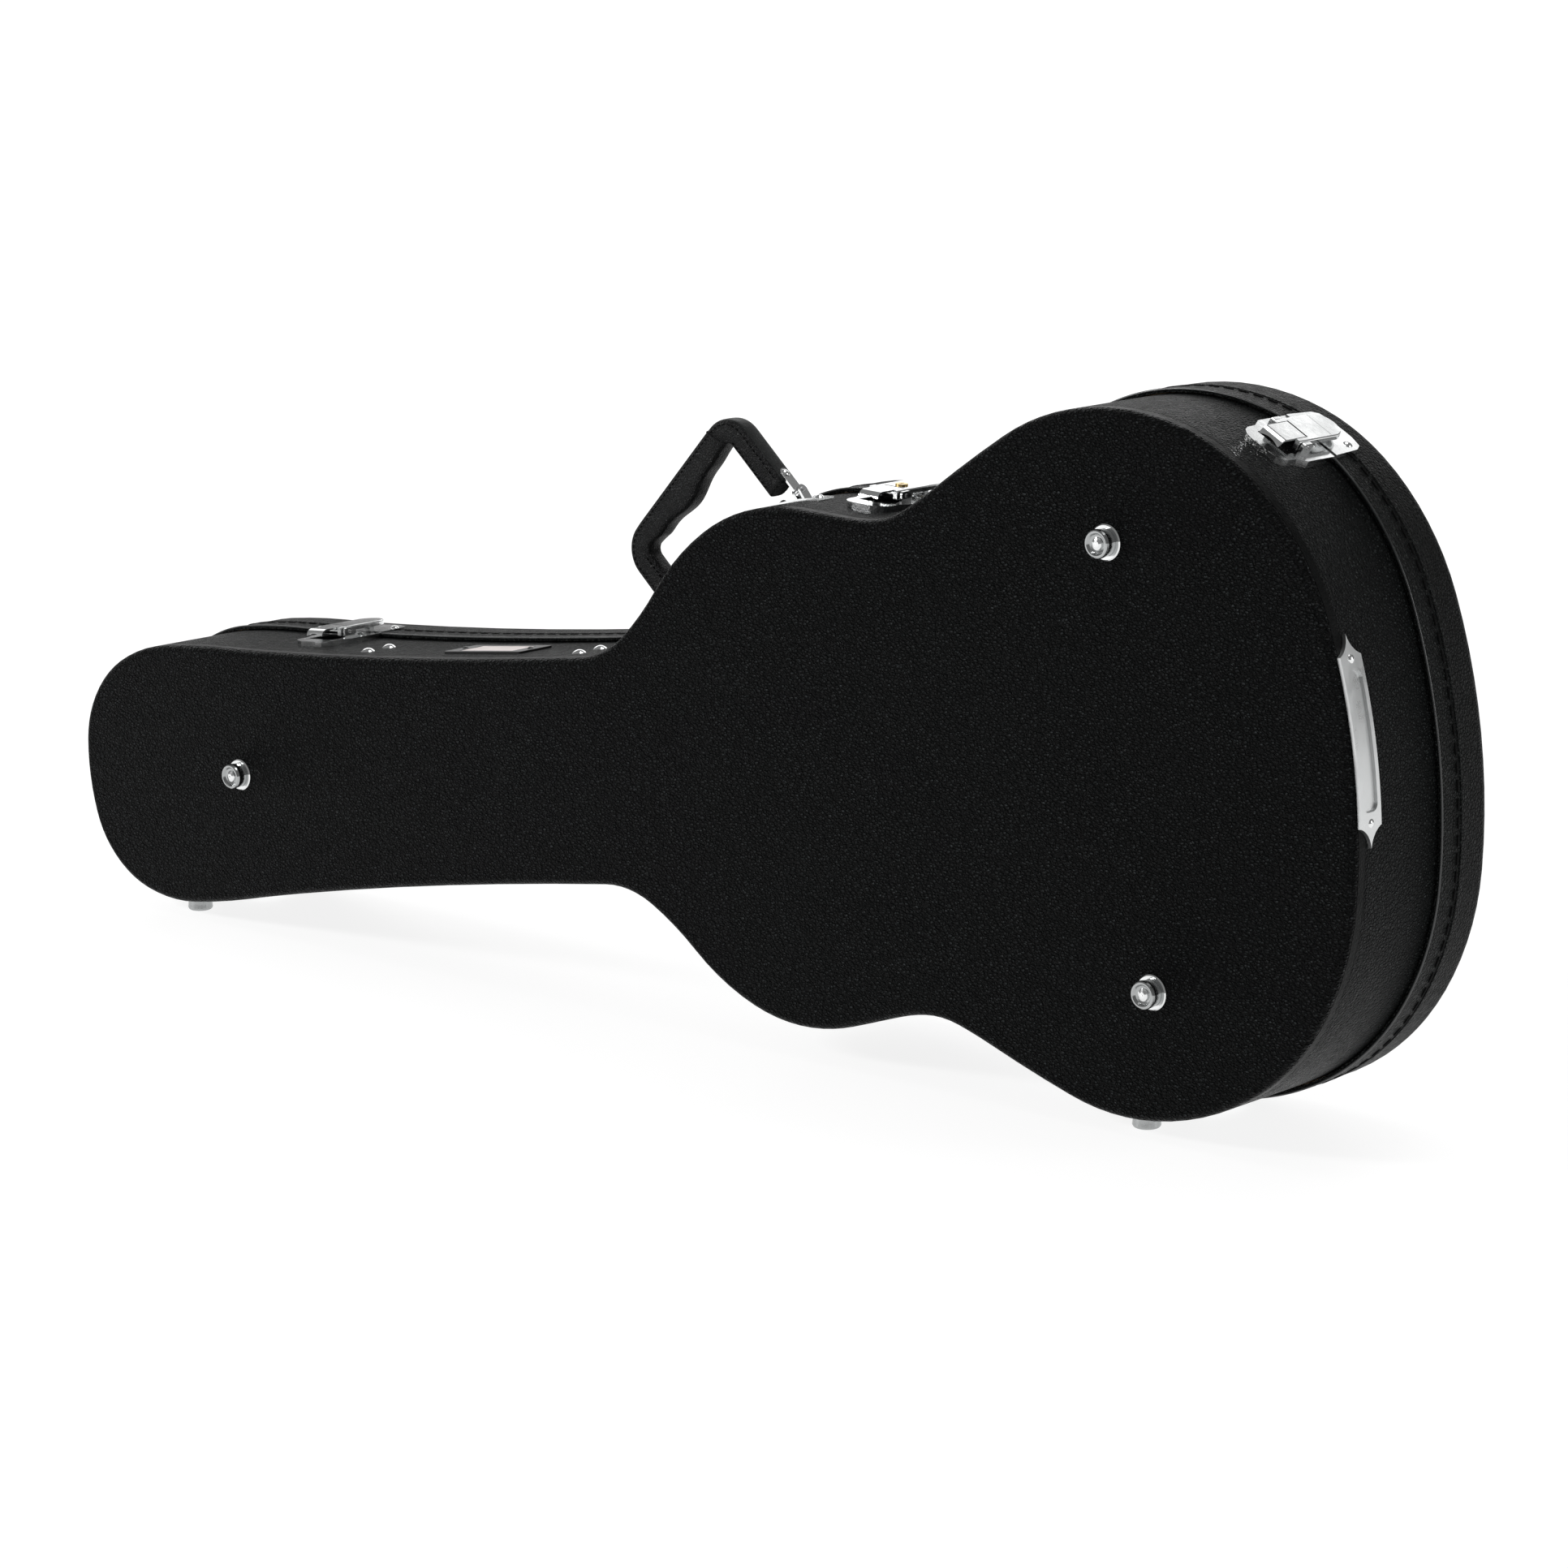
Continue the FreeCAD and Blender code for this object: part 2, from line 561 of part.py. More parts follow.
def lock_cylinder():
    """Brass keyed plug: a flange on the hasp, a barrel through it and a cam below."""
    barrel = Part.makeCylinder(LOCK_R, COVER_TOP - 7.4, V(0, LOCK_Y, 7.4))
    flange = Part.makeCylinder(LOCK_R + 0.9, 0.9, V(0, LOCK_Y, COVER_TOP + 0.05))
    neck = Part.makeCylinder(LOCK_R, 0.3, V(0, LOCK_Y, COVER_TOP - 0.1))
    cam = box(-1.5, 6.0, LOCK_Y - 1.5, LOCK_Y + 1.5, 7.4, 8.4)
    slot = box(-0.5, 0.5, LOCK_Y - 2.1, LOCK_Y + 2.1, COVER_TOP - 1.6, COVER_TOP + 2)
    return barrel.fuse(flange).fuse(neck).fuse(cam).cut(slot).removeSplitter()


def latches():
    nodes = {}
    pins = []
    tray_rivets = []
    keeper_rivets = []
    base_body = prism(SEAT, FACE_Y, BASE_EDGE_Y)
    lid_body = prism(LID_PROUD + SEAT, LIP_Y, BACK_Y)
    for name, x in LATCHES:
        holds_tray = [rivet(2.4, 1.0, SHEET, V(u, 71, TRAY_TOP), V(0, 0, 1)) for u in (-7, 7)]
        holds_keeper = [rivet(2.9, 1.4, 0.8, V(u, 97.5, KEEPER_T), V(0, 0, 1)) for u in (-13, 13)]
        tray = latch_tray()
        for stem in holds_tray:
            tray = tray.cut(stem)
        keeper = latch_keeper()
        for stem in holds_keeper:
            keeper = keeper.cut(stem)
        nodes["latch_%s_base" % name] = on_wall(tray, x).cut(base_body)
        nodes["latch_%s_lever" % name] = on_wall(latch_paddle(), x)
        nodes["latch_%s_hasp" % name] = on_wall(latch_hasp(name == "waist"), x)
        nodes["latch_%s_keeper" % name] = on_wall(keeper, x, LID_PROUD).cut(lid_body)
        pin = Part.makeCylinder(PIN_R, 2 * EAR_OUT + 1.2, V(-EAR_OUT - 0.6, PIN_Y, PIN_N), V(1, 0, 0))
        pins.append(on_wall(pin, x))
        tray_rivets += [on_wall(r, x) for r in holds_tray]
        keeper_rivets += [on_wall(r, x, LID_PROUD) for r in holds_keeper]
    nodes["latch_pins"] = Part.Compound(pins)
    nodes["latch_base_rivets"] = Part.Compound(tray_rivets)
    nodes["latch_keeper_rivets"] = Part.Compound(keeper_rivets)
    nodes["lock_cylinder"] = on_wall(lock_cylinder(), LATCHES[1][1])
    return nodes


# ---------------------------------------------------------------- handle
def handle_place(shape):
    """Move a piece from the handle's a, b axes (b up from the arm ends) into the case frame."""
    turn = FreeCAD.Rotation(V(0, 1, 0), -HANDLE_ANGLE)
    place = FreeCAD.Placement(V(HANDLE_FOOT[0], HANDLE_Y, HANDLE_FOOT[1]), turn)
    return shape.transformed(place.toMatrix(), True)


def handle_point(x, z):
    """Handle-frame position of a case-frame point."""
    c, s = unit(math.radians(HANDLE_ANGLE))
    dx = x - HANDLE_FOOT[0]
    dz = z - HANDLE_FOOT[1]
    return dx * c + dz * s, -dx * s + dz * c


def c_band(inset_out, inset_in, depth, corner):
    """C-shaped band: outer face inset_out inside the handle's outside, inner face inset_in."""
    a1 = HANDLE_ARM - 1.0 - inset_out
    a0 = HANDLE_ARM - 1.0 - HANDLE_SPAN + inset_out
    top = HANDLE_RISE - inset_out
    low = HANDLE_RIGHT_END - 9
    outer = box(a0, a1, -depth / 2, depth / 2, low, top)
    outer = round_corners(outer, top, corner)
    inner = box(a0 + inset_in - inset_out, a1 - inset_in + inset_out, -depth, depth, low - 1,
                HANDLE_RISE - inset_in)
    inner = round_corners(inner, HANDLE_RISE - inset_in, max(corner - inset_in + inset_out, 4))
    band = outer.cut(inner)
    head_arm_end = box(-HANDLE_SPAN, -HANDLE_SPAN / 2, -depth, depth, low - 1, HANDLE_LEFT_END)
    butt_arm_end = box(-HANDLE_SPAN / 2, HANDLE_SPAN, -depth, depth, low - 1, HANDLE_RIGHT_END)
    return band.cut(head_arm_end).cut(butt_arm_end)


def round_corners(block, top, radius):
    """Round the two top corners of a block in the a, b plane."""
    edges = [e for e in block.Edges if e.BoundBox.YLength > 1 and e.BoundBox.XLength < 0.01
             and abs(e.BoundBox.ZMin - top) < 1e-6]
    return block.makeFillet(radius, edges)


def handle_pieces():
    arm = HANDLE_ARM
    grip = c_band(0, arm, HANDLE_DEPTH, HANDLE_CORNER_R)
    middle = HANDLE_ARM - 1.0 - HANDLE_SPAN / 2
    swell_base = V(middle - 2, -HANDLE_DEPTH / 2, HANDLE_RISE + 18.5)
    swell = Part.makeCylinder(40, HANDLE_DEPTH, swell_base, V(0, 1, 0))
    swell = swell.common(box(middle - 36, middle + 36, -99, 99, 0, HANDLE_RISE - arm + 0.5))
    grip = grip.fuse(swell)
    strip = c_band(6.5, 9.0, 11.0, HANDLE_CORNER_R - 6.5)
    grip = grip.cut(c_band(6.4, 9.1, 11.2, HANDLE_CORNER_R - 6.4)).removeSplitter()
    return handle_place(grip), handle_place(strip)


def pivot(name):
    """Centre of a strap's eye, above the wall."""
    x, z, heading = wall_point(STRAP_FEET_X[name])
    nx, nz = unit(heading + math.pi / 2)
    return V(x + nx * PIVOT_LIFT, HANDLE_Y, z + nz * PIVOT_LIFT)


def handle_axis():
    start = pivot("head")
    return start, (pivot("body") - start).normalize()


def straps():
    """Steel straps on the outsides of the arms; each turns on a pin along the handle's axis."""
    axis = handle_axis()[1]
    nodes = {}
    rivets = []
    c, s = unit(math.radians(HANDLE_ANGLE))
    # side of the arm, its outer face, and the height the strap is set out from
    ends = {"head": (-1, HANDLE_ARM - 1.0 - HANDLE_SPAN, HANDLE_LEFT_END),
            "body": (1, HANDLE_ARM - 1.0, HANDLE_RIGHT_END - 2.5)}
    for name, (side, face, arm_end) in ends.items():
        centre = pivot(name)
        pa, pb = handle_point(centre.x, centre.z)
        near = face + side * 0.05
        far = near + side * STRAP_T
        low, high = min(near, far), max(near, far)
        top = arm_end + 8.0
        plate = box(low, high, -STRAP_HALF, STRAP_HALF, pb + 1.5, top)
        plate = plate.fuse(Part.makeCylinder(STRAP_HALF, STRAP_T, V(low, 0, top), V(1, 0, 0)))
        eye = Part.makeCylinder(EYE_R, 2.4, centre - axis * 1.2, axis)
        bore = Part.makeCylinder(LOOP_R + PIN_CLEAR, 20, centre - axis * 10, axis)
        nodes["handle_strap_%s" % name] = handle_place(plate).fuse(eye).cut(bore).removeSplitter()
        outward = V(c * side, 0, s * side)
        rivets.append(dome(2.9, 1.5, handle_spot(far + side * 0.02, top), outward))
    nodes["handle_rivets"] = Part.Compound(rivets)
    return nodes


def handle_spot(a, b):
    c, s = unit(math.radians(HANDLE_ANGLE))
    return V(HANDLE_FOOT[0] + a * c - b * s, HANDLE_Y, HANDLE_FOOT[1] + a * s + b * c)


def bracket_plate(x, z):
    """Rounded plate that follows the wall's curve, centred on a wall point."""
    plan = Part.makeCylinder(BRACKET_HALF, 16, V(x, HANDLE_Y - 8, z), V(0, 1, 0))
    width = box(x - 40, x + 40, HANDLE_Y - 7, HANDLE_Y + 7, z - 40, z + 40)
    return ring(BRACKET_T, SEAT, FACE_Y, BASE_EDGE_Y).common(plan).common(width)


def brackets():
    """Under each end of the handle: a riveted plate with two lugs and their pin."""
    axis = handle_axis()[1]
    nodes = {}
    pins = []
    rivets = []
    base_body = prism(SEAT, FACE_Y, BASE_EDGE_Y)
    across = V(-axis.z, 0, axis.x)
    upright = FreeCAD.Rotation(axis, V(0, 1, 0), across, "XYZ")
    for name, foot_x in STRAP_FEET_X.items():
        centre = pivot(name)
        shape = bracket_plate(*wall_point(foot_x)[:2])
        for side in (-1, 1):
            middle = centre + axis * (side * 2.6)
            lug = Part.makeCylinder(EYE_R, 1.6, middle - axis * 0.8, axis)
            web = box(-0.8, 0.8, -EYE_R, EYE_R, -PIVOT_LIFT - 3, 0)
            web = web.transformed(FreeCAD.Placement(middle, upright).toMatrix(), True)
            shape = shape.fuse(lug).fuse(web)
        shape = shape.cut(Part.makeCylinder(LOOP_R, 20, centre - axis * 10, axis)).cut(base_body)
        for du in (-BRACKET_RIVET_U, BRACKET_RIVET_U):
            slope = math.cos(wall_point(foot_x)[2])
            head = rivet(3.1, 1.7, 1.0, V(0, HANDLE_Y, BRACKET_T), V(0, 0, 1))
            head = on_wall(head, foot_x + du * slope)
            shape = shape.cut(head)
            rivets.append(head)
        nodes["handle_bracket_%s" % name] = shape.removeSplitter()
        pins.append(Part.makeCylinder(LOOP_R, 8.4, centre - axis * 4.2, axis))
    nodes["handle_pins"] = Part.Compound(pins)
    nodes["bracket_rivets"] = Part.Compound(rivets)
    return nodes


def handle():
    grip, strip = handle_pieces()
    return {"handle_grip": grip, "handle_strip": strip, **straps(), **brackets()}


# ---------------------------------------------------------------- fittings on the wall
def nameplate():
    """Blank plate on the neck wall: a frame, a bright insert and two rivets."""
    length, width = NAMEPLATE_SIZE
    base_body = prism(SEAT, FACE_Y, BASE_EDGE_Y)
    frame = box(-length / 2, length / 2, NAMEPLATE_Y - width / 2, NAMEPLATE_Y + width / 2, -2, 1.5)
    corner = [e for e in frame.Edges if e.BoundBox.ZLength > 1]
    frame = frame.makeFillet(2, corner)
    well = box(-24, 24, NAMEPLATE_Y - 11, NAMEPLATE_Y + 11, 0.9, 3)
    insert = box(-23.8, 23.8, NAMEPLATE_Y - 10.8, NAMEPLATE_Y + 10.8, 0.9, 1.35)
    pins = [rivet(2.2, 1.2, 0.8, V(u, NAMEPLATE_Y, 1.5), V(0, 0, 1)) for u in (-29.5, 29.5)]
    frame = frame.cut(well)
    for pin in pins:
        frame = frame.cut(pin)
    return {
        "nameplate_frame": on_wall(frame, NAMEPLATE_X).cut(base_body),
        "nameplate_insert": on_wall(insert, NAMEPLATE_X),
        "nameplate_rivets": Part.Compound([on_wall(p, NAMEPLATE_X) for p in pins]),
    }


def butt_plate():
    """Curved end plate with a pressed-in channel and pointed, hollow-sided ends."""
    y0, y1 = BUTT_PLATE_Y
    mid_y = (y0 + y1) / 2
    half = BUTT_PLATE_LENGTH / 2
    neck = half - 12.0
    shell = ring(BUTT_PLATE_T, SEAT, FACE_Y, BASE_EDGE_Y)
    plan = Part.Wire([
        Part.LineSegment(V(1030, y0, -neck), V(1030, y0, neck)).toShape(),
        Part.Arc(V(1030, y0, neck), V(1030, mid_y - 3.2, neck + 4.6), V(1030, mid_y, half)).toShape(),
        Part.Arc(V(1030, mid_y, half), V(1030, mid_y + 3.2, neck + 4.6), V(1030, y1, neck)).toShape(),
        Part.LineSegment(V(1030, y1, neck), V(1030, y1, -neck)).toShape(),
        Part.Arc(V(1030, y1, -neck), V(1030, mid_y + 3.2, -neck - 4.6), V(1030, mid_y, -half)).toShape(),
        Part.Arc(V(1030, mid_y, -half), V(1030, mid_y - 3.2, -neck - 4.6), V(1030, y0, -neck)).toShape(),
    ])
    plate = Part.Face(plan).extrude(V(60, 0, 0))
    plate.translate(V(0, 0, BUTT_PLATE_Z))
    plate = plate.common(shell)
    reach = neck - CHANNEL_END
    sides = (mid_y - CHANNEL_HALF, mid_y + CHANNEL_HALF)
    channel = box(1030, 1090, *sides, BUTT_PLATE_Z - reach, BUTT_PLATE_Z + reach)
    hollow = ring(BUTT_PLATE_T + 1, CHANNEL_FLOOR, FACE_Y, BASE_EDGE_Y).common(channel).removeSplitter()
    ends = [e for e in hollow.Edges if e.Length < BUTT_PLATE_T + 1]
    hollow = hollow.makeFillet(CHANNEL_HALF - 2, ends)
    plate = plate.cut(hollow).removeSplitter()
    heads = []
    for z in (BUTT_PLATE_Z - neck + 2, BUTT_PLATE_Z + neck - 2):
        x = 1060 - (z * z) / (2 * 384.6)
        tilt = -z / 384.6
        axis = V(math.cos(tilt), 0, -math.sin(tilt))
        heads.append(rivet(2.6, 1.2, 1.6, V(x, mid_y, z) + axis * BUTT_PLATE_T, axis))
    for head in heads:
        plate = plate.cut(head)
    return {"butt_plate": plate, "butt_plate_rivets": Part.Compound(heads)}


def accessory_box():
    """Padded neck cradle, two bulkheads and the hinged lid of the accessory box."""
    inner = -VINYL - PLY - PAD_GAP
    floor = FACE_Y + VINYL + BASE_PANEL + PAD_GAP
    room = prism(inner, floor, BASE_EDGE_Y)
    x0, x1 = BULKHEADS_X
    half = BULKHEAD_T / 2
    walls = []
    for x in BULKHEADS_X:
        walls.append(box(x - half, x + half, floor, BOX_DEPTH, -ACROSS, ACROSS).common(room))
    saddle = box(x0 - CRADLE_LENGTH, x0 - half - 0.5, floor + FLOOR_PAD, CRADLE_TOP, -ACROSS, ACROSS)
    saddle = saddle.common(prism(inner - WALL_PAD - PAD_GAP, floor, BASE_EDGE_Y))
    notch = Part.makeCylinder(CRADLE_NOTCH_R, 60, V(x0 - 50, CRADLE_TOP + 10, 0), V(1, 0, 0))
    saddle = saddle.cut(notch)
    under = BOX_DEPTH + PAD_GAP
    cover = prism(inner - WALL_PAD - 1.0, under, under + BOX_LID_T)
    cover = cover.common(box(x0 - half, x1 + half, 0, 99, BOX_HINGE_Z + 3.2, ACROSS))
    barrel_y = under + BOX_LID_T / 2
    along = V(1, 0, 0)
    barrel = Part.makeCylinder(BOX_LID_T / 2, x1 - x0 - 20, V(x0 + 10, barrel_y, BOX_HINGE_Z), along)
    arm = box(x0 + 10, x1 - 10, barrel_y - 1, barrel_y + 1, BOX_HINGE_Z, BOX_HINGE_Z + 4)
    rod = Part.makeCylinder(BOX_ROD_R, x1 - x0 - 8, V(x0 + 4, barrel_y, BOX_HINGE_Z), along)
    bore = Part.makeCylinder(BOX_ROD_R + PIN_CLEAR, 400, V(x0 - 50, barrel_y, BOX_HINGE_Z), along)
    cover = cover.fuse(arm).fuse(barrel).cut(bore).removeSplitter()
    posts = []
    for x in (x0 - half, x1 - 8 + half):
        post = box(x, x + 8, BOX_DEPTH + 0.02, barrel_y + 2, BOX_HINGE_Z - 2, BOX_HINGE_Z + 2)
        posts.append(post.cut(Part.makeCylinder(BOX_ROD_R, 400, V(x0 - 50, barrel_y, BOX_HINGE_Z), along)))
    tab = box(-9, 9, 0, 1.2, 0, 16)
    tab.translate(V((x0 + x1) / 2, under + BOX_LID_T + 0.05, -BOX_HINGE_Z - 12))
    return {
        "neck_cradle": saddle,
        "box_head_wall": walls[0],
        "box_body_wall": walls[1],
        "box_lid": cover,
        "box_hinge_rod": rod,
        "box_hinge_posts": Part.Compound(posts),
        "box_pull_tab": tab,
    }


def bulkhead_rivets():
    heads = []
    for x in BULKHEADS_X:
        for y in BULKHEAD_RIVETS_Y:
            head = dome(4.6, 2.4, V(0, y, SEAT), V(0, 0, 1))
            upper = on_wall(head, x)
            heads.append(upper)
            heads.append(upper.mirror(V(0, 0, 0), V(0, 0, 1)))
    return {"bulkhead_rivets": Part.Compound(heads)}


# ---------------------------------------------------------------- assembly
def stance():
    """Placement that turns the case level on its side feet, with the origin under its middle."""
    turn = FreeCAD.Rotation(V(0, 1, 0), -math.degrees(TILT))
    return FreeCAD.Placement(V(0, 0, 0), turn)


def write_parts(nodes):
    os.makedirs("parts", exist_ok=True)
    turned_nodes = {name: shape.transformed(stance().toMatrix(), True) for name, shape in nodes.items()}
    whole = FreeCAD.BoundBox()
    for shape in turned_nodes.values():
        whole.add(shape.optimalBoundingBox(False))
    shift = V(-whole.Center.x, -whole.Center.y, -whole.ZMin)
    for name, shape in turned_nodes.items():
        shape.translate(shift)
        shape.exportStep("parts/%s.step" % name)
    print("tilt", round(math.degrees(TILT), 3), "shift", shift, "size", whole)
    print("nodes", len(nodes))
    report_joints(shift)


def report_joints(shift):
    """Print the pivots in metres, as the record needs them."""
    turn = stance()

    def show(label, point, axis):
        p = (turn.multVec(point) + shift) * 0.001
        a = turn.Rotation.multVec(axis)
        print(label, [round(v, 5) for v in p], [round(v, 5) for v in a])

    show("lid", below(HEAD_CONTACT, HINGE_DROP, HINGE_Y), ALONG)
    show("bout foot", below(BOUT_CONTACT, FOOT_HEIGHT + SEAT, SIDE_FEET_Y), DOWN)
    start, axis = handle_axis()
    show("handle", start, axis)
    show("box_lid", V(BULKHEADS_X[0], BOX_DEPTH + 2.4, BOX_HINGE_Z), V(1, 0, 0))
    for name, x in LATCHES:
        px, pz, heading = wall_point(x)
        t = unit(heading)
        n = unit(heading + math.pi / 2)
        show("latch " + name, V(px + n[0] * PIN_N, PIN_Y, pz + n[1] * PIN_N), V(t[0], 0, t[1]))
        show("normal " + name, V(px, LOCK_Y, pz), V(n[0], 0, n[1]))


def main():
    nodes = {}
    for group in (base_shell, lid_shell, feet, hinges, latches, handle, nameplate, butt_plate,
                  accessory_box, bulkhead_rivets):
        nodes.update(group())
    write_parts(nodes)


main()
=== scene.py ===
"""Looks of the guitar case: vinyl, chrome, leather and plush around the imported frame."""
import bmesh
import bpy
import math
from mathutils import Matrix, Vector, noise


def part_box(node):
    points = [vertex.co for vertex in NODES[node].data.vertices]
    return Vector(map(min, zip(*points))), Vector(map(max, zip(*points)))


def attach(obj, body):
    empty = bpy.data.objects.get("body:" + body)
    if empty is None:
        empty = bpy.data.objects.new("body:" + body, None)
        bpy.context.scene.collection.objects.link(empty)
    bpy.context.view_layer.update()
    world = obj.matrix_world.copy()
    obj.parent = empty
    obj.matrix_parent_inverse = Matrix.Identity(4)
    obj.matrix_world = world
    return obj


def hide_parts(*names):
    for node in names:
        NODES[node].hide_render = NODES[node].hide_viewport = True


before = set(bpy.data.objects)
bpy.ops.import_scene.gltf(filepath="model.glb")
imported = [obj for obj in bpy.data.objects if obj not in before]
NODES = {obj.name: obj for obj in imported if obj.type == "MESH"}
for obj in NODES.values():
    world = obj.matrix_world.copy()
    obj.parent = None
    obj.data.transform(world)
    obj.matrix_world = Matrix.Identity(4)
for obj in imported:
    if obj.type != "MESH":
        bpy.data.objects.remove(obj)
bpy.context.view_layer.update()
MM = 0.001

# ---------------------------------------------------------------- the case frame
# Half outline of the base rim, as in the CAD: distance from the head end, half width, heading.
RIM_NODES = [(0, 0, 90), (12, 50, 57), (92, 88, 0), (200, 81, -4), (484, 71.5, 0), (556, 112, 47),
             (654, 158, 0), (700, 151.8, -11), (736, 147, 0), (785, 163.7, 28), (899, 203.7, 0),
             (1020, 147, -52), (1060, 0, -90)]
TILT = math.radians(8.176)
LID_PROUD = 3.0
BACK_Y = 127.0
LIP_Y = 78.0
OUTLINE_STEP = 1.0
# A turn under this many radians is drawn as a straight line.
FLAT_TURN = 1e-6


def unit(angle):
    return math.cos(angle), math.sin(angle)


def arc_turn(start, heading, end):
    """How far an arc turns that leaves start at heading and reaches end."""
    return 2 * (math.atan2(end[1] - start[1], end[0] - start[0]) - heading)


def biarc_joint(start, heading0, end, heading1):
    """Where two arcs meet that leave start at heading0 and reach end at heading1."""
    t0 = unit(heading0)
    t1 = unit(heading1)
    vx = end[0] - start[0]
    vz = end[1] - start[1]
    dot_sum = vx * (t0[0] + t1[0]) + vz * (t0[1] + t1[1])
    square = vx * vx + vz * vz
    spread = 2 * (1 - t0[0] * t1[0] - t0[1] * t1[1])
    reach = (-dot_sum + math.sqrt(dot_sum ** 2 + spread * square)) / spread
    return ((start[0] + end[0] + reach * (t0[0] - t1[0])) / 2,
            (start[1] + end[1] + reach * (t0[1] - t1[1])) / 2)


def arc_points(start, heading, end, step):
    """Points (x, z, heading) along an arc, without its last one."""
    turn = arc_turn(start, heading, end)
    chord = math.hypot(end[0] - start[0], end[1] - start[1])
    if abs(turn) < FLAT_TURN:
        length = chord
    else:
        length = chord * (turn / 2) / math.sin(turn / 2)
    count = max(2, int(length / step))
    points = []
    for i in range(count):
        now = heading + turn * i / count
        if abs(turn) < FLAT_TURN:
            c, s = unit(heading)
            points.append((start[0] + c * length * i / count, start[1] + s * length * i / count, now))
        else:
            radius = length / turn
            points.append((start[0] + radius * (math.sin(now) - math.sin(heading)),
                           start[1] - radius * (math.cos(now) - math.cos(heading)), now))
    return points, heading + turn


def half_outline():
    """Points (x, z, heading) along the half outline, head end to butt end."""
    points = []
    for first, second in zip(RIM_NODES[:-1], RIM_NODES[1:]):
        heading0 = math.radians(first[2])
        heading1 = math.radians(second[2])
        joint = biarc_joint(first[:2], heading0, second[:2], heading1)
        part, turn = arc_points(first[:2], heading0, joint, OUTLINE_STEP)
        points += part
        part, _ = arc_points(joint, turn, second[:2], OUTLINE_STEP)
        points += part
    x, z, heading = RIM_NODES[-1]
    points.append((x, z, math.radians(heading)))
    return points


HALF = half_outline()


def moved(offset):
    """Half outline moved out by offset, as (x, z, normal x, normal z)."""
    out = []
    for x, z, heading in HALF:
        nx, nz = unit(heading + math.pi / 2)
        out.append((x + nx * offset, z + nz * offset, nx, nz))
    return out


def full(offset):
    """The whole outline moved out by offset, as (x, z, normal x, normal z)."""
    upper = moved(offset)
    lower = [(x, -z, nx, -nz) for x, z, nx, nz in upper]
    return upper + lower[-2:0:-1]


def evenly(points, spacing, closed):
    """Resample a chain of (x, z, nx, nz) at even spacing."""
    chain = points + points[:1] if closed else points
    lengths = [0.0]
    for a, b in zip(chain[:-1], chain[1:]):
        lengths.append(lengths[-1] + math.hypot(b[0] - a[0], b[1] - a[1]))
    count = max(2, round(lengths[-1] / spacing))
    out = []
    k = 0
    for i in range(count if closed else count + 1):
        goal = lengths[-1] * i / count
        while k < len(lengths) - 2 and lengths[k + 1] < goal:
            k += 1
        t = (goal - lengths[k]) / max(lengths[k + 1] - lengths[k], 1e-9)
        a, b = chain[k], chain[k + 1]
        x, z, nx, nz = (a[m] + (b[m] - a[m]) * t for m in range(4))
        size = math.hypot(nx, nz)
        out.append((x, z, nx / size, nz / size))
    return out


COS, SIN = unit(TILT)
ring = full(LID_PROUD)
SHIFT_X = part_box("lid_cover")[0].x / MM - min(x * COS - z * SIN for x, z, _, _ in ring)
SHIFT_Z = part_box("lid_cover")[0].z / MM - min(x * SIN + z * COS for x, z, _, _ in ring)
SHIFT_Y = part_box("lid_cover")[1].y / MM - BACK_Y


def row(x, y, z):
    """Case frame in millimetres to the row frame in metres."""
    return Vector((x * COS - z * SIN + SHIFT_X, y + SHIFT_Y, x * SIN + z * COS + SHIFT_Z)) * MM


# ---------------------------------------------------------------- mesh helpers
def make(name, vertices, faces, smooth=True):
    mesh = bpy.data.meshes.new(name)
    mesh.from_pydata([tuple(v) for v in vertices], [], faces)
    mesh.validate()
    mesh.update()
    obj = bpy.data.objects.new(name, mesh)
    bpy.context.scene.collection.objects.link(obj)
    fix_normals(obj)
    for polygon in mesh.polygons:
        polygon.use_smooth = smooth
    return obj


def fix_normals(obj):
    bm = bmesh.new()
    bm.from_mesh(obj.data)
    bmesh.ops.recalc_face_normals(bm, faces=bm.faces)
    bm.to_mesh(obj.data)
    bm.free()


def tube_faces(sections, ring_size, closed):
    """Quads between consecutive rings of vertices, and end caps on an open run."""
    faces = []
    last = sections if closed else sections - 1
    for i in range(last):
        j = (i + 1) % sections
        for k in range(ring_size):
            m = (k + 1) % ring_size
            faces.append((i * ring_size + k, i * ring_size + m, j * ring_size + m, j * ring_size + k))
    if not closed:
        faces.append(tuple(range(ring_size)))
        faces.append(tuple(reversed(range((sections - 1) * ring_size, sections * ring_size))))
    return faces


def sweep(name, stations, section, closed):
    """Sweep along the outline; section(i) gives (offset, y) pairs."""
    vertices = []
    size = 0
    for i, (x, z, nx, nz) in enumerate(stations):
        pairs = section(i)
        size = len(pairs)
        for offset, y in pairs:
            vertices.append(row(x + nx * offset, y, z + nz * offset))
    return make(name, vertices, tube_faces(len(stations), size, closed))


def round_section(offset, y, half_offset, half_y, count):
    """Closed round or oval section for sweep, as (offset, y) pairs."""
    pairs = []
    for k in range(count):
        a = 2 * math.pi * k / count
        pairs.append((offset + math.cos(a) * half_offset, y + math.sin(a) * half_y))
    return pairs


def subdivided(obj, levels=1):
    modifier = obj.modifiers.new("smooth", "SUBSURF")
    modifier.levels = levels
    modifier.render_levels = levels
    return obj


def bevelled(obj, width, segments=2, angle=30):
    modifier = obj.modifiers.new("edges", "BEVEL")
    modifier.width = width
    modifier.segments = segments
    modifier.limit_method = "ANGLE"
    modifier.angle_limit = math.radians(angle)
    modifier.harden_normals = False
    return obj


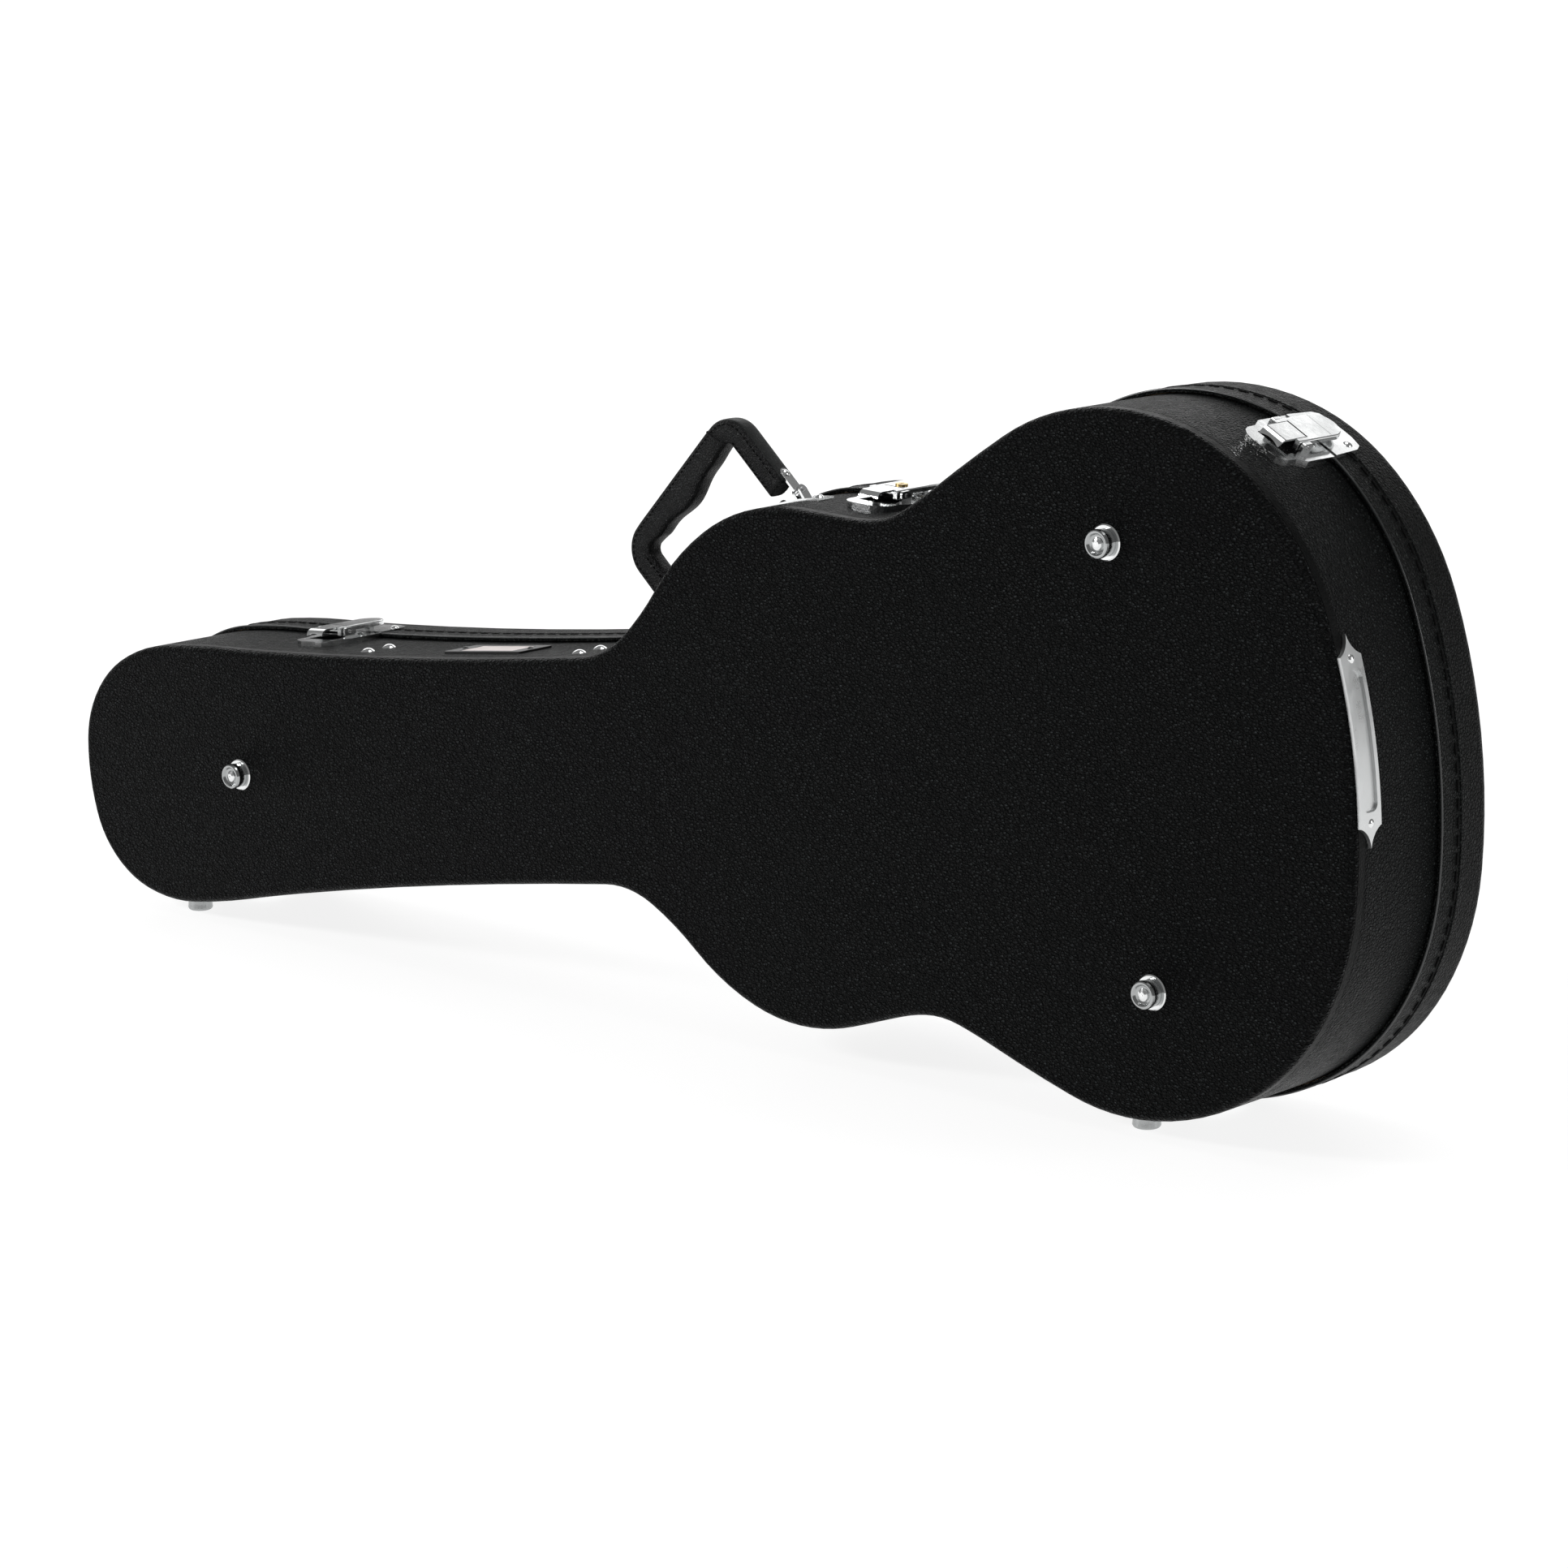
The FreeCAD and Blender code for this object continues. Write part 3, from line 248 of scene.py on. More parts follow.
# ---------------------------------------------------------------- materials
class Nodes:
    """Short calls for building a material's node tree."""

    def __init__(self, name):
        self.material = bpy.data.materials.new(name)
        self.material.use_nodes = True
        self.tree = self.material.node_tree
        self.shader = self.tree.nodes["Principled BSDF"]
        self.coordinates = self.tree.nodes.new("ShaderNodeTexCoord")

    def node(self, kind, inputs=None, **settings):
        node = self.tree.nodes.new(kind)
        for key, value in settings.items():
            setattr(node, key, value)
        for key, value in (inputs or {}).items():
            if isinstance(value, bpy.types.NodeSocket):
                self.tree.links.new(value, node.inputs[key])
            else:
                node.inputs[key].default_value = value
        return node

    def scaled(self, scale, turn=(0, 0, 0)):
        mapping = self.node("ShaderNodeMapping", {"Vector": self.coordinates.outputs["Object"],
                                                  "Rotation": turn, "Scale": scale})
        return mapping.outputs["Vector"]

    def noise(self, scale, detail=4.0, roughness=0.55, vector=None):
        vector = vector or self.coordinates.outputs["Object"]
        node = self.node("ShaderNodeTexNoise", {"Vector": vector, "Scale": scale, "Detail": detail,
                                                "Roughness": roughness})
        return node.outputs["Fac"]

    def cells(self, scale, feature="F1", vector=None, randomness=1.0):
        vector = vector or self.coordinates.outputs["Object"]
        node = self.node("ShaderNodeTexVoronoi", {"Vector": vector, "Scale": scale,
                                                  "Randomness": randomness}, feature=feature)
        return node.outputs["Distance"]

    def ramp(self, value, stops):
        node = self.node("ShaderNodeValToRGB", {"Fac": value})
        elements = node.color_ramp.elements
        while len(elements) < len(stops):
            elements.new(0.5)
        for element, (position, colour) in zip(elements, stops):
            element.position = position
            if isinstance(colour, (int, float)):
                colour = (colour, colour, colour)
            element.color = (*colour, 1)
        return node.outputs["Color"]

    def span(self, value, low, high, out_low, out_high):
        node = self.node("ShaderNodeMapRange", {"Value": value, "From Min": low, "From Max": high,
                                                "To Min": out_low, "To Max": out_high})
        return node.outputs["Result"]

    def math(self, operation, a, b=0.0):
        return self.node("ShaderNodeMath", {0: a, 1: b}, operation=operation).outputs[0]

    def mix(self, factor, a, b):
        node = self.node("ShaderNodeMix", data_type="RGBA")
        for index, value in ((0, factor), (6, a), (7, b)):
            if isinstance(value, bpy.types.NodeSocket):
                self.tree.links.new(value, node.inputs[index])
            elif index == 0:
                node.inputs[index].default_value = value
            else:
                node.inputs[index].default_value = (*value, 1)
        return node.outputs[2]

    def bump(self, height, strength, distance, under=None):
        inputs = {"Height": height, "Strength": strength, "Distance": distance}
        if under:
            inputs["Normal"] = under
        return self.node("ShaderNodeBump", inputs).outputs["Normal"]

    def wire(self, **sockets):
        for key, value in sockets.items():
            name = key.replace("_", " ")
            if isinstance(value, bpy.types.NodeSocket):
                self.tree.links.new(value, self.shader.inputs[name])
            else:
                self.shader.inputs[name].default_value = value
        return self.material

    def fixed(self, **values):
        """Plain numbers set straight on the shader's own sockets."""
        for key, value in values.items():
            self.shader.inputs[key.replace("_", " ")].default_value = value


def band_along_y(n, low, high):
    """0 below case depth low, 1 above high, from the object's own Y."""
    xyz = n.node("ShaderNodeSeparateXYZ", {"Vector": n.coordinates.outputs["Object"]})
    return n.span(xyz.outputs["Y"], (low + SHIFT_Y) * MM, (high + SHIFT_Y) * MM, 0.0, 1.0)


def vinyl(name, cell, depth, dark, light, rough, stretch=(1.0, 1.0, 1.0), turn=(0, 0, 0), smooth=None,
          gloss=0.06, glint_gain=5.0):
    """Embossed vinyl: rounded pebbles with creases between them; smooth is an optional mask. The creases are
    painted darker as shade, and a random share of the pebble tops is painted lighter as highlights.
    """
    n = Nodes(name)
    vector = n.scaled(stretch, turn)
    drift = n.node("ShaderNodeTexNoise", {"Vector": vector, "Scale": 260.0, "Detail": 2.0}).outputs["Color"]
    drift = n.node("ShaderNodeVectorMath", {0: drift, 1: (0.0022, 0.0022, 0.0022)}, operation="MULTIPLY")
    shifted = n.node("ShaderNodeVectorMath", {0: vector, 1: drift.outputs[0]}, operation="ADD").outputs[0]
    pebbles = n.cells(cell, "F1", shifted)
    creases = n.cells(cell, "DISTANCE_TO_EDGE", shifted)
    crown = n.span(pebbles, 0.0, 0.75, 1.0, 0.0)
    edge = n.span(creases, 0.0, 0.28, 0.0, 1.0)
    fine = n.noise(2600.0, 3.0)
    height = n.math("ADD", n.math("MULTIPLY", crown, 0.7), n.math("MULTIPLY", edge, 0.7))
    height = n.math("ADD", height, n.math("MULTIPLY", fine, 0.15))
    # Painted highlight: a random share of the pebble tops, lightened in the colour below.
    painted_glint_tops = n.math("MULTIPLY", n.span(pebbles, 0.12, 0.42, 1.0, 0.0),
                  n.span(n.noise(330.0, 2.0, 0.5, vector), 0.42, 0.66, 0.0, 1.0))
    if smooth is not None:
        keep = smooth(n)
        height = n.math("MULTIPLY", height, keep)
        painted_glint_tops = n.math("MULTIPLY", painted_glint_tops, keep)
        plain = n.span(keep, 0.0, 1.0, 0.75, 0.0)
    broad = n.noise(14.0, 3.0)
    normal = n.bump(broad, 0.1, 0.003)
    normal = n.bump(height, 1.0, depth, normal)
    # Painted shade: the creases get the dark colour; then painted highlights: the chosen pebble tops get the
    # light colour raised by the gain.
    colour = n.mix(edge, dark, light)
    colour = n.mix(painted_glint_tops, colour, tuple(c * glint_gain for c in light))
    colour = n.mix(n.span(broad, 0.45, 0.75, 0.0, 0.3), colour, tuple(c * 1.6 for c in light))
    if smooth is not None:
        colour = n.mix(plain, colour, tuple(c * 0.3 for c in dark))
    roughness = n.span(n.noise(160.0, 4.0), 0.3, 0.7, rough - 0.05, rough + 0.07)
    roughness = n.math("ADD", roughness, n.span(painted_glint_tops, 0.0, 1.0, 0.0, -0.08))
    n.fixed(IOR=1.48, Specular_IOR_Level=gloss)
    return n.wire(Base_Color=colour, Roughness=roughness, Normal=normal)


def chrome(name, tint, rough, scratch=0.25):
    """Plated steel: smudges in the roughness, fine scratches and a slight orange peel."""
    n = Nodes(name)
    smudge = n.noise(60.0, 5.0, 0.6)
    scratches = n.noise(900.0, 2.0, 0.5, n.scaled((0.06, 1.0, 1.0), (0.2, 0.3, 0.6)))
    peel = n.noise(240.0, 2.0)
    pits = n.ramp(n.cells(900.0), [(0.0, 0.0), (0.05, 1.0)])
    normal = n.bump(peel, 0.02, 0.0006)
    normal = n.bump(scratches, scratch * 0.3, 0.00006, normal)
    colour = n.mix(n.span(smudge, 0.35, 0.75, 0.0, 0.6), tint, tuple(c * 0.9 for c in tint))
    colour = n.mix(n.span(pits, 0.0, 1.0, 0.2, 0.0), colour, (0.1, 0.1, 0.1))
    roughness = n.span(smudge, 0.3, 0.75, rough, rough + 0.14)
    roughness = n.math("ADD", roughness, n.span(scratches, 0.4, 0.7, 0.0, 0.07 * scratch * 4))
    n.fixed(Metallic=1.0)
    return n.wire(Base_Color=colour, Roughness=roughness, Normal=normal)


def leather(name, dark, light, rough, cell=750.0, depth=0.0006, gloss=0.1):
    """Printed leather: small irregular grain, creases painted darker as shade, grain tops painted lighter as
    highlights, and rubbed lighter spots.
    """
    n = Nodes(name)
    grain = n.cells(cell, "SMOOTH_F1")
    creases = n.span(n.cells(cell * 0.9, "DISTANCE_TO_EDGE"), 0.0, 0.2, 0.0, 1.0)
    wrinkles = n.noise(110.0, 6.0, 0.65)
    pores = n.noise(3000.0, 2.0)
    height = n.math("ADD", n.math("MULTIPLY", creases, 0.7), n.math("MULTIPLY", pores, 0.3))
    height = n.math("SUBTRACT", height, n.math("MULTIPLY", grain, 0.4))
    normal = n.bump(wrinkles, 0.35, 0.0012)
    normal = n.bump(height, 0.85, depth, normal)
    # Painted shade: the creases get the dark colour.
    colour = n.mix(creases, dark, light)
    # Painted highlight: a random share of the grain tops, lightened six times in the colour below.
    painted_glint_tops = n.math("MULTIPLY", n.span(grain, 0.12, 0.4, 1.0, 0.0),
                  n.span(n.noise(500.0), 0.45, 0.65, 0.0, 1.0))
    colour = n.mix(painted_glint_tops, colour, tuple(c * 6.0 for c in light))
    rubbed = n.ramp(n.noise(35.0, 5.0), [(0.52, 0.0), (0.75, 0.4)])
    colour = n.mix(rubbed, colour, tuple(c * 1.6 for c in light))
    roughness = n.span(wrinkles, 0.3, 0.7, rough - 0.06, rough + 0.12)
    n.fixed(IOR=1.5, Specular_IOR_Level=gloss)
    return n.wire(Base_Color=colour, Roughness=roughness, Normal=normal)


def thread(name, colour_low, colour_high, scale=2400.0):
    n = Nodes(name)
    twist = n.node("ShaderNodeTexWave", {"Vector": n.coordinates.outputs["Object"], "Scale": scale,
                                         "Distortion": 2.0, "Detail": 1.0}).outputs["Fac"]
    fuzz = n.noise(4000.0, 3.0)
    normal = n.bump(twist, 0.5, 0.0002)
    colour = n.mix(n.math("MULTIPLY", twist, fuzz), colour_low, colour_high)
    roughness = n.span(fuzz, 0.3, 0.7, 0.55, 0.8)
    n.fixed(Specular_IOR_Level=0.05)
    return n.wire(Base_Color=colour, Roughness=roughness, Normal=normal)


def plush(name, dark, light):
    """Short pile: clumps, brushed streaks and a strong sheen."""
    n = Nodes(name)
    pile = n.noise(2400.0, 4.0, 0.7)
    clumps = n.noise(260.0, 5.0, 0.65)
    brushed = n.noise(18.0, 4.0, 0.6, n.scaled((1.0, 1.0, 2.6), (0, 0.4, 0)))
    height = n.math("ADD", n.math("MULTIPLY", pile, 0.7), n.math("MULTIPLY", clumps, 0.6))
    normal = n.bump(brushed, 0.25, 0.003)
    normal = n.bump(height, 0.9, 0.0007, normal)
    colour = n.mix(n.span(pile, 0.3, 0.7, 0.0, 1.0), dark, light)
    colour = n.mix(n.ramp(brushed, [(0.4, 0.0), (0.65, 0.45)]), colour, tuple(c * 1.7 for c in light))
    roughness = n.span(clumps, 0.3, 0.7, 0.8, 0.98)
    n.fixed(Sheen_Weight=0.8, Sheen_Roughness=0.35, Specular_IOR_Level=0.2)
    return n.wire(Base_Color=colour, Roughness=roughness, Normal=normal)


def plywood(name):
    n = Nodes(name)
    grain = n.noise(30.0, 8.0, 0.7, n.scaled((0.25, 6.0, 6.0)))
    ply = n.node("ShaderNodeTexWave", {"Vector": n.coordinates.outputs["Object"], "Scale": 260.0,
                                       "Distortion": 1.0}, bands_direction="Y").outputs["Fac"]
    pores = n.noise(900.0, 3.0, 0.6, n.scaled((0.08, 1.0, 1.0)))
    colour = n.ramp(grain, [(0.3, (0.42, 0.27, 0.14)), (0.55, (0.62, 0.44, 0.26)), (0.8, (0.72, 0.54, 0.34))])
    colour = n.mix(n.math("MULTIPLY", ply, 0.35), colour, (0.3, 0.18, 0.09))
    normal = n.bump(pores, 0.4, 0.0003)
    roughness = n.span(pores, 0.3, 0.7, 0.5, 0.75)
    return n.wire(Base_Color=colour, Roughness=roughness, Normal=normal)


def moulded(name, dark, light, rough):
    n = Nodes(name)
    fine = n.noise(1500.0, 3.0)
    broad = n.noise(40.0, 4.0)
    colour = n.mix(n.span(broad, 0.35, 0.7, 0.0, 1.0), dark, light)
    normal = n.bump(fine, 0.25, 0.00012)
    roughness = n.span(broad, 0.3, 0.7, rough, rough + 0.12)
    n.fixed(Coat_Weight=0.15, Coat_Roughness=0.25)
    return n.wire(Base_Color=colour, Roughness=roughness, Normal=normal)


def brushed(name, tint):
    n = Nodes(name)
    streaks = n.noise(700.0, 3.0, 0.6, n.scaled((0.05, 1.0, 1.0), (0, -TILT, 0)))
    cloud = n.noise(50.0, 3.0)
    colour = n.mix(n.span(streaks, 0.3, 0.7, 0.0, 1.0), tuple(c * 0.86 for c in tint), tint)
    colour = n.mix(n.span(cloud, 0.35, 0.7, 0.0, 0.3), colour, (0.62, 0.5, 0.48))
    normal = n.bump(streaks, 0.3, 0.0001)
    roughness = n.span(streaks, 0.3, 0.7, 0.28, 0.42)
    n.fixed(Metallic=0.85)
    return n.wire(Base_Color=colour, Roughness=roughness, Normal=normal)


def base_wall_mask(n):
    """Smooth around the rounded edge of the face, grained on the wall."""
    return n.span(band_along_y(n, 8.0, 11.0), 0.0, 1.0, 0.08, 1.0)


def lid_band_mask(n):
    """Grained on the stitched border and the back, smooth on the rounded edge."""
    rise = n.span(band_along_y(n, 100.0, 102.0), 0.0, 1.0, 1.0, 0.6)
    fall = n.span(band_along_y(n, 124.5, 126.6), 0.0, 1.0, 0.0, 0.4)
    return n.math("ADD", rise, fall)


def matt_floor(name):
    """Pale floor that glows a little more with distance, so its far edge fades out."""
    n = Nodes(name)
    grain = n.noise(400.0, 3.0)
    colour = n.mix(n.span(n.noise(1.5, 2.0), 0.3, 0.7, 0.0, 1.0), (0.2, 0.2, 0.2), (0.22, 0.22, 0.22))
    normal = n.bump(grain, 0.05, 0.0005)
    roughness = n.span(grain, 0.3, 0.7, 0.6, 0.7)
    reach = n.node("ShaderNodeVectorMath", {0: n.coordinates.outputs["Object"]}, operation="LENGTH")
    glow = n.span(reach.outputs["Value"], 1.2, 5.0, 0.86, 1.05)
    n.fixed(Specular_IOR_Level=0.15, Emission_Color=(1, 1, 1, 1))
    return n.wire(Base_Color=colour, Roughness=roughness, Normal=normal, Emission_Strength=glow)


MATERIALS = {
    "face": vinyl("vinyl_face", 370.0, 0.0015, (0.0007, 0.0009, 0.001), (0.0024, 0.0027, 0.0028), 0.34,
                  (1.0, 1.0, 1.7), (0, 0.5, 0), gloss=0.055, glint_gain=17.0),
    "base_wall": vinyl("vinyl_base_wall", 560.0, 0.0011, (0.0022, 0.0026, 0.0027), (0.006, 0.0068, 0.0068),
                       0.38, (1.0, 0.8, 1.0), smooth=base_wall_mask, glint_gain=6.0),
    "lid": vinyl("vinyl_lid", 500.0, 0.0009, (0.0024, 0.0027, 0.0027), (0.006, 0.0068, 0.0066), 0.4,
                 smooth=lid_band_mask),
    "lip": vinyl("vinyl_lip", 500.0, 0.0009, (0.0035, 0.004, 0.004), (0.0085, 0.0095, 0.0092), 0.38),
    "chrome": chrome("nickel_plate", (0.8, 0.81, 0.81), 0.07, 0.1),
    # Painted reflection: a darker copy of the nickel for the foot cups, standing in for the dark surroundings
    # they would mirror.
    "foot": chrome("nickel_foot_painted_dark", (0.4, 0.41, 0.41), 0.1),
    "satin": chrome("nickel_satin", (0.62, 0.63, 0.63), 0.24, 0.1),
    "chrome_worn": chrome("nickel_plate_worn", (0.55, 0.55, 0.55), 0.16, 0.5),
    "steel": chrome("steel", (0.55, 0.55, 0.56), 0.28, 0.5),
    "brass": chrome("brass", (0.83, 0.6, 0.25), 0.14),
    "leather": leather("leather_black", (0.0012, 0.0012, 0.0014), (0.0046, 0.005, 0.0052), 0.34, gloss=0.18),
    "band": leather("leather_band", (0.006, 0.0066, 0.0066), (0.009, 0.01, 0.01), 0.36, 1500.0, 0.00006),
    "thread": thread("thread_black", (0.0008, 0.0008, 0.0008), (0.003, 0.003, 0.003)),
    "bead": moulded("bead_black", (0.012, 0.013, 0.013), (0.022, 0.024, 0.024), 0.24),
    "plush": plush("plush_lining", (0.012, 0.008, 0.01), (0.045, 0.028, 0.034)),
    "plywood": plywood("birch_ply"),
    "plastic": moulded("plastic_black", (0.006, 0.006, 0.006), (0.012, 0.012, 0.012), 0.3),
    "plate": brushed("plate_blank", (0.86, 0.78, 0.76)),
    "floor": matt_floor("studio_floor"),
}


def paint(obj, key):
    obj.data.materials.clear()
    obj.data.materials.append(MATERIALS[key])


def paint_node(name, key):
    obj = NODES[name]
    if not obj.material_slots:
        obj.data.materials.append(MATERIALS[key])
    for slot in obj.material_slots:
        slot.material = MATERIALS[key]


LATCH_NAMES = ("head", "waist", "bout")
PAINT = {
    "base_panel": "plywood", "base_side_wall": "plywood", "lid_panel": "plywood", "lid_side_wall": "plywood",
    "box_head_wall": "plush", "box_body_wall": "plush", "box_lid": "plush",
    "base_face_cover": "face", "base_wall_cover": "base_wall", "lid_cover": "lid", "lid_lip": "lip",
    "handle_strip": "band", "lock_cylinder": "brass",
    "nameplate_frame": "plastic", "nameplate_rivets": "bead", "nameplate_insert": "plate",
    "box_hinge_rod": "steel", "box_hinge_posts": "steel", "hinge_pins": "steel", "handle_pins": "steel",
    "latch_pins": "chrome_worn", "butt_plate": "satin",
    # The foot cups take the darker nickel copy, a painted reflection.
    "foot_cups": "foot",
}
for node_name in NODES:
    paint_node(node_name, PAINT.get(node_name, "chrome"))

SMALL_BEVEL = 0.22 * MM
PLATE_BEVEL = 0.5 * MM
LATCH_BEVEL = 0.4 * MM
SHARP = ["foot_flanges", "foot_cups", "foot_rivets", "lid_feet", "nameplate_frame"]
SHARP += ["handle_strap_head", "handle_strap_body", "handle_bracket_head", "handle_bracket_body"]
for node_name in SHARP:
    bevelled(NODES[node_name], SMALL_BEVEL)
bevelled(NODES["butt_plate"], PLATE_BEVEL, 3)
for latch in LATCH_NAMES:
    for piece in ("base", "lever", "hasp", "keeper"):
        bevelled(NODES["latch_%s_%s" % (latch, piece)], LATCH_BEVEL, 3)


# ---------------------------------------------------------------- stitches and bead on the lid
# Places along a stitch, as a part of its length, and its fatness there.
STITCH_PROFILE = ((-0.5, 0.15), (-0.44, 0.6), (-0.3, 0.95), (0.0, 1.0), (0.3, 0.95), (0.44, 0.6), (0.5, 0.15))
STITCH_SIDES = 8
LID_STITCH_Y = 94.0
LID_STITCH_SPACING = 10.4
LID_STITCH_LIFT = 0.05
SEAM_CORD_Y = 97.6
LIP_BEAD_RADIUS = 0.75
CREASE_OFFSET = -0.5
CREASE_CORD_Y = 1.85
CORD_SPACING = 4.0


def capsule(centre, along, up, length, width, height):
    """One raised stitch: a short rounded bar; returns its vertices and faces."""
    side = along.cross(up).normalized()
    rings = []
    for t, fat in STITCH_PROFILE:
        for k in range(STITCH_SIDES):
            a = 2 * math.pi * k / STITCH_SIDES
            rings.append(centre + along * (t * length) + side * (math.cos(a) * width / 2 * fat)
                         + up * (math.sin(a) * height * fat))
    return rings, tube_faces(len(STITCH_PROFILE), STITCH_SIDES, False)


def stitch_row(name, spots, length, width, height):
    """spots are (centre, along, up); all the stitches make one mesh."""
    vertices = []
    faces = []
    for i, (centre, along, up) in enumerate(spots):
        sway = noise.noise(Vector((i * 0.37, 1.7, 0.2))) * 0.06
        turned = (along + along.cross(up) * sway).normalized()
        new, quads = capsule(centre, turned, up, length * (1 + sway), width, height)
        start = len(vertices)
        vertices += new
        faces += [tuple(start + corner for corner in quad) for quad in quads]
    return make(name, vertices, faces)


def lid_stitches():
    stations = evenly(full(LID_PROUD), LID_STITCH_SPACING, True)
    spots = []
    for x, z, nx, nz in stations:
        up = (row(x + nx, 0, z + nz) - row(x, 0, z)).normalized()
        along = up.cross(Vector((0, 1, 0))).normalized()
        centre = row(x + nx * LID_STITCH_LIFT, LID_STITCH_Y, z + nz * LID_STITCH_LIFT)
        spots.append((centre, along, up))
    obj = stitch_row("lid_stitches", spots, 7.4 * MM, 2.0 * MM, 0.5 * MM)
    paint(obj, "thread")
    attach(obj, "lid")


def lip_bead():
    """Rolled edge of the lip."""
    section = round_section(LID_PROUD - 0.35, LIP_Y + 0.45, LIP_BEAD_RADIUS, LIP_BEAD_RADIUS, 10)
    obj = sweep("lip_bead", evenly(full(0), CORD_SPACING, True), lambda i: section, True)
    paint(obj, "bead")
    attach(obj, "lid")


def seam_cord():
    """Raised cord beside the lid's stitches."""
    section = round_section(LID_PROUD, SEAM_CORD_Y, 0.45, 0.8, 8)
    obj = sweep("lid_seam_cord", evenly(full(0), CORD_SPACING, True), lambda i: section, True)
    paint(obj, "lip")
    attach(obj, "lid")


def crease_cord():
    """Dark cord that fills the crease between the face covering and the wall covering: painted shade, a
    near-black cord laid in the crease to darken it.
    """
    section = round_section(CREASE_OFFSET, CREASE_CORD_Y, 0.3, 0.28, 8)
    obj = sweep("face_crease_shade_cord", evenly(full(0), CORD_SPACING, True), lambda i: section, True)
    paint(obj, "thread")
    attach(obj, "base")


lid_stitches()
lip_bead()
seam_cord()
crease_cord()


# ---------------------------------------------------------------- handle
HANDLE_Y = 42.0
HANDLE_FOOT = (626.0, 160.0)
HANDLE_ANGLE = math.radians(39.4)
ARM = 16.0
RISE = 63.0
SPAN = 131.0
CORNER = 20.0
# Place along the handle of the butt-side arm's outer edge, then the height at which each arm stops.
OUTER_EDGE = ARM - 1.0
HEAD_ARM_END = 18.6
BUTT_ARM_END = 0.6
GRIP_HALF = 6.9
GRIP_LIFT = 0.45
STITCH_SIDE = 7.0
OUTER_SEAM = 3.0
INNER_SEAM = 12.4
FOLD_SIDES = 8
# Depth below the outer edge and place across it, round the edge band.
BAND_SECTION = ((0.5, -5.9), (0.02, -5.6), (-0.3, -4.4), (-0.42, 0.0), (-0.3, 4.4), (0.02, 5.6), (0.5, 5.9),
                (0.9, 0.0))


def handle_row(a, b, y):
    """Handle frame (a along the wall, b away from it, y across) to the row frame."""
    c, s = unit(HANDLE_ANGLE)
    return row(HANDLE_FOOT[0] + a * c - b * s, HANDLE_Y + y, HANDLE_FOOT[1] + a * s + b * c)


def handle_line(inset, spacing):
    """Points of the C at an inset from its outer edge, as (a, b, outward a, outward b)."""
    a1 = OUTER_EDGE - inset
    a0 = OUTER_EDGE - SPAN + inset
    top = RISE - inset
    r = CORNER - inset
    points = []
    straight = [((a0, HEAD_ARM_END), (a0, top - r), (-1, 0)), None,
                ((a0 + r, top), (a1 - r, top), (0, 1)), None,
                ((a1, top - r), (a1, BUTT_ARM_END), (1, 0))]
    turns = {1: ((a0 + r, top - r), math.pi, math.pi / 2), 3: ((a1 - r, top - r), math.pi / 2, 0.0)}
    for index, run in enumerate(straight):
        if run:
            (sa, sb), (ea, eb), normal = run
            count = max(2, round(math.hypot(ea - sa, eb - sb) / spacing))
            for i in range(count):
                t = i / count
                points.append((sa + (ea - sa) * t, sb + (eb - sb) * t, *normal))
        else:
            centre, start, end = turns[index]
            count = max(3, round(abs(end - start) * max(r, 4) / spacing))
            for i in range(count):
                now = start + (end - start) * i / count
                c, s = unit(now)
                points.append((centre[0] + c * r, centre[1] + s * r, c, s))
    points.append((a1, BUTT_ARM_END, 1, 0))
    return points


def belly(a):
    """How far the underside of the grip swells, in mm, at a place along it."""
    middle = OUTER_EDGE - SPAN / 2 - 2
    main = 5.2 * math.exp(-((a - middle) / 17.0) ** 2)
    head_side = 1.3 * math.exp(-((a - middle + 33.0) / 8.0) ** 2)
    butt_side = 1.0 * math.exp(-((a - middle - 31.0) / 9.0) ** 2)
    return main + (head_side + butt_side)


def grip_section(a, b, na, nb):
    """Rounded section at a place on the C; the top run is padded and swells below."""
    start = OUTER_EDGE - SPAN + CORNER
    on_grip = nb > 0.999 and start < a < OUTER_EDGE - CORNER
    lift = 0.0
    inner = ARM - 0.5
    if on_grip:
        along = (a - start) / (SPAN - 2 * CORNER)
        to_end = min(along, 1 - along)
        lift = GRIP_LIFT * min(1.0, to_end / 0.05)
        inner += belly(a) * min(1.0, to_end / 0.12)
    half = GRIP_HALF + lift
    outer = 0.15
    near = [(outer, 1.6), (outer + 0.25, 0.5), (outer + 1.3, 0.0), (outer + 4.0, -0.12),
            (inner - 4.5, -0.12), (inner - 2.0, 0.35), (inner - 0.5, 1.8), (inner, 4.0)]
    profile = [(depth, rise - half) for depth, rise in near]
    profile += [(depth, -y) for depth, y in reversed(profile)]
    return [handle_row(a - na * depth, b - nb * depth, y) for depth, y in profile]


def handle_grip():
    """Leather of the whole C."""
    line = handle_line(0.0, 2.2)
    vertices = []
    for place in line:
        vertices += grip_section(*place)
    obj = make("handle_leather", vertices, tube_faces(len(line), 16, False))
    subdivided(obj, 1)
    paint(obj, "leather")
    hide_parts("handle_grip", "handle_strip")
    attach(obj, "handle")


def handle_band():
    """Flat band along the outer edge of the C."""
    line = handle_line(0.0, 2.2)
    vertices = []
    for a, b, na, nb in line:
        for depth, y in BAND_SECTION:
            vertices.append(handle_row(a - na * depth, b - nb * depth, y))
    band = make("handle_band", vertices, tube_faces(len(line), len(BAND_SECTION), False))
    subdivided(band, 1)
    paint(band, "band")
    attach(band, "handle")


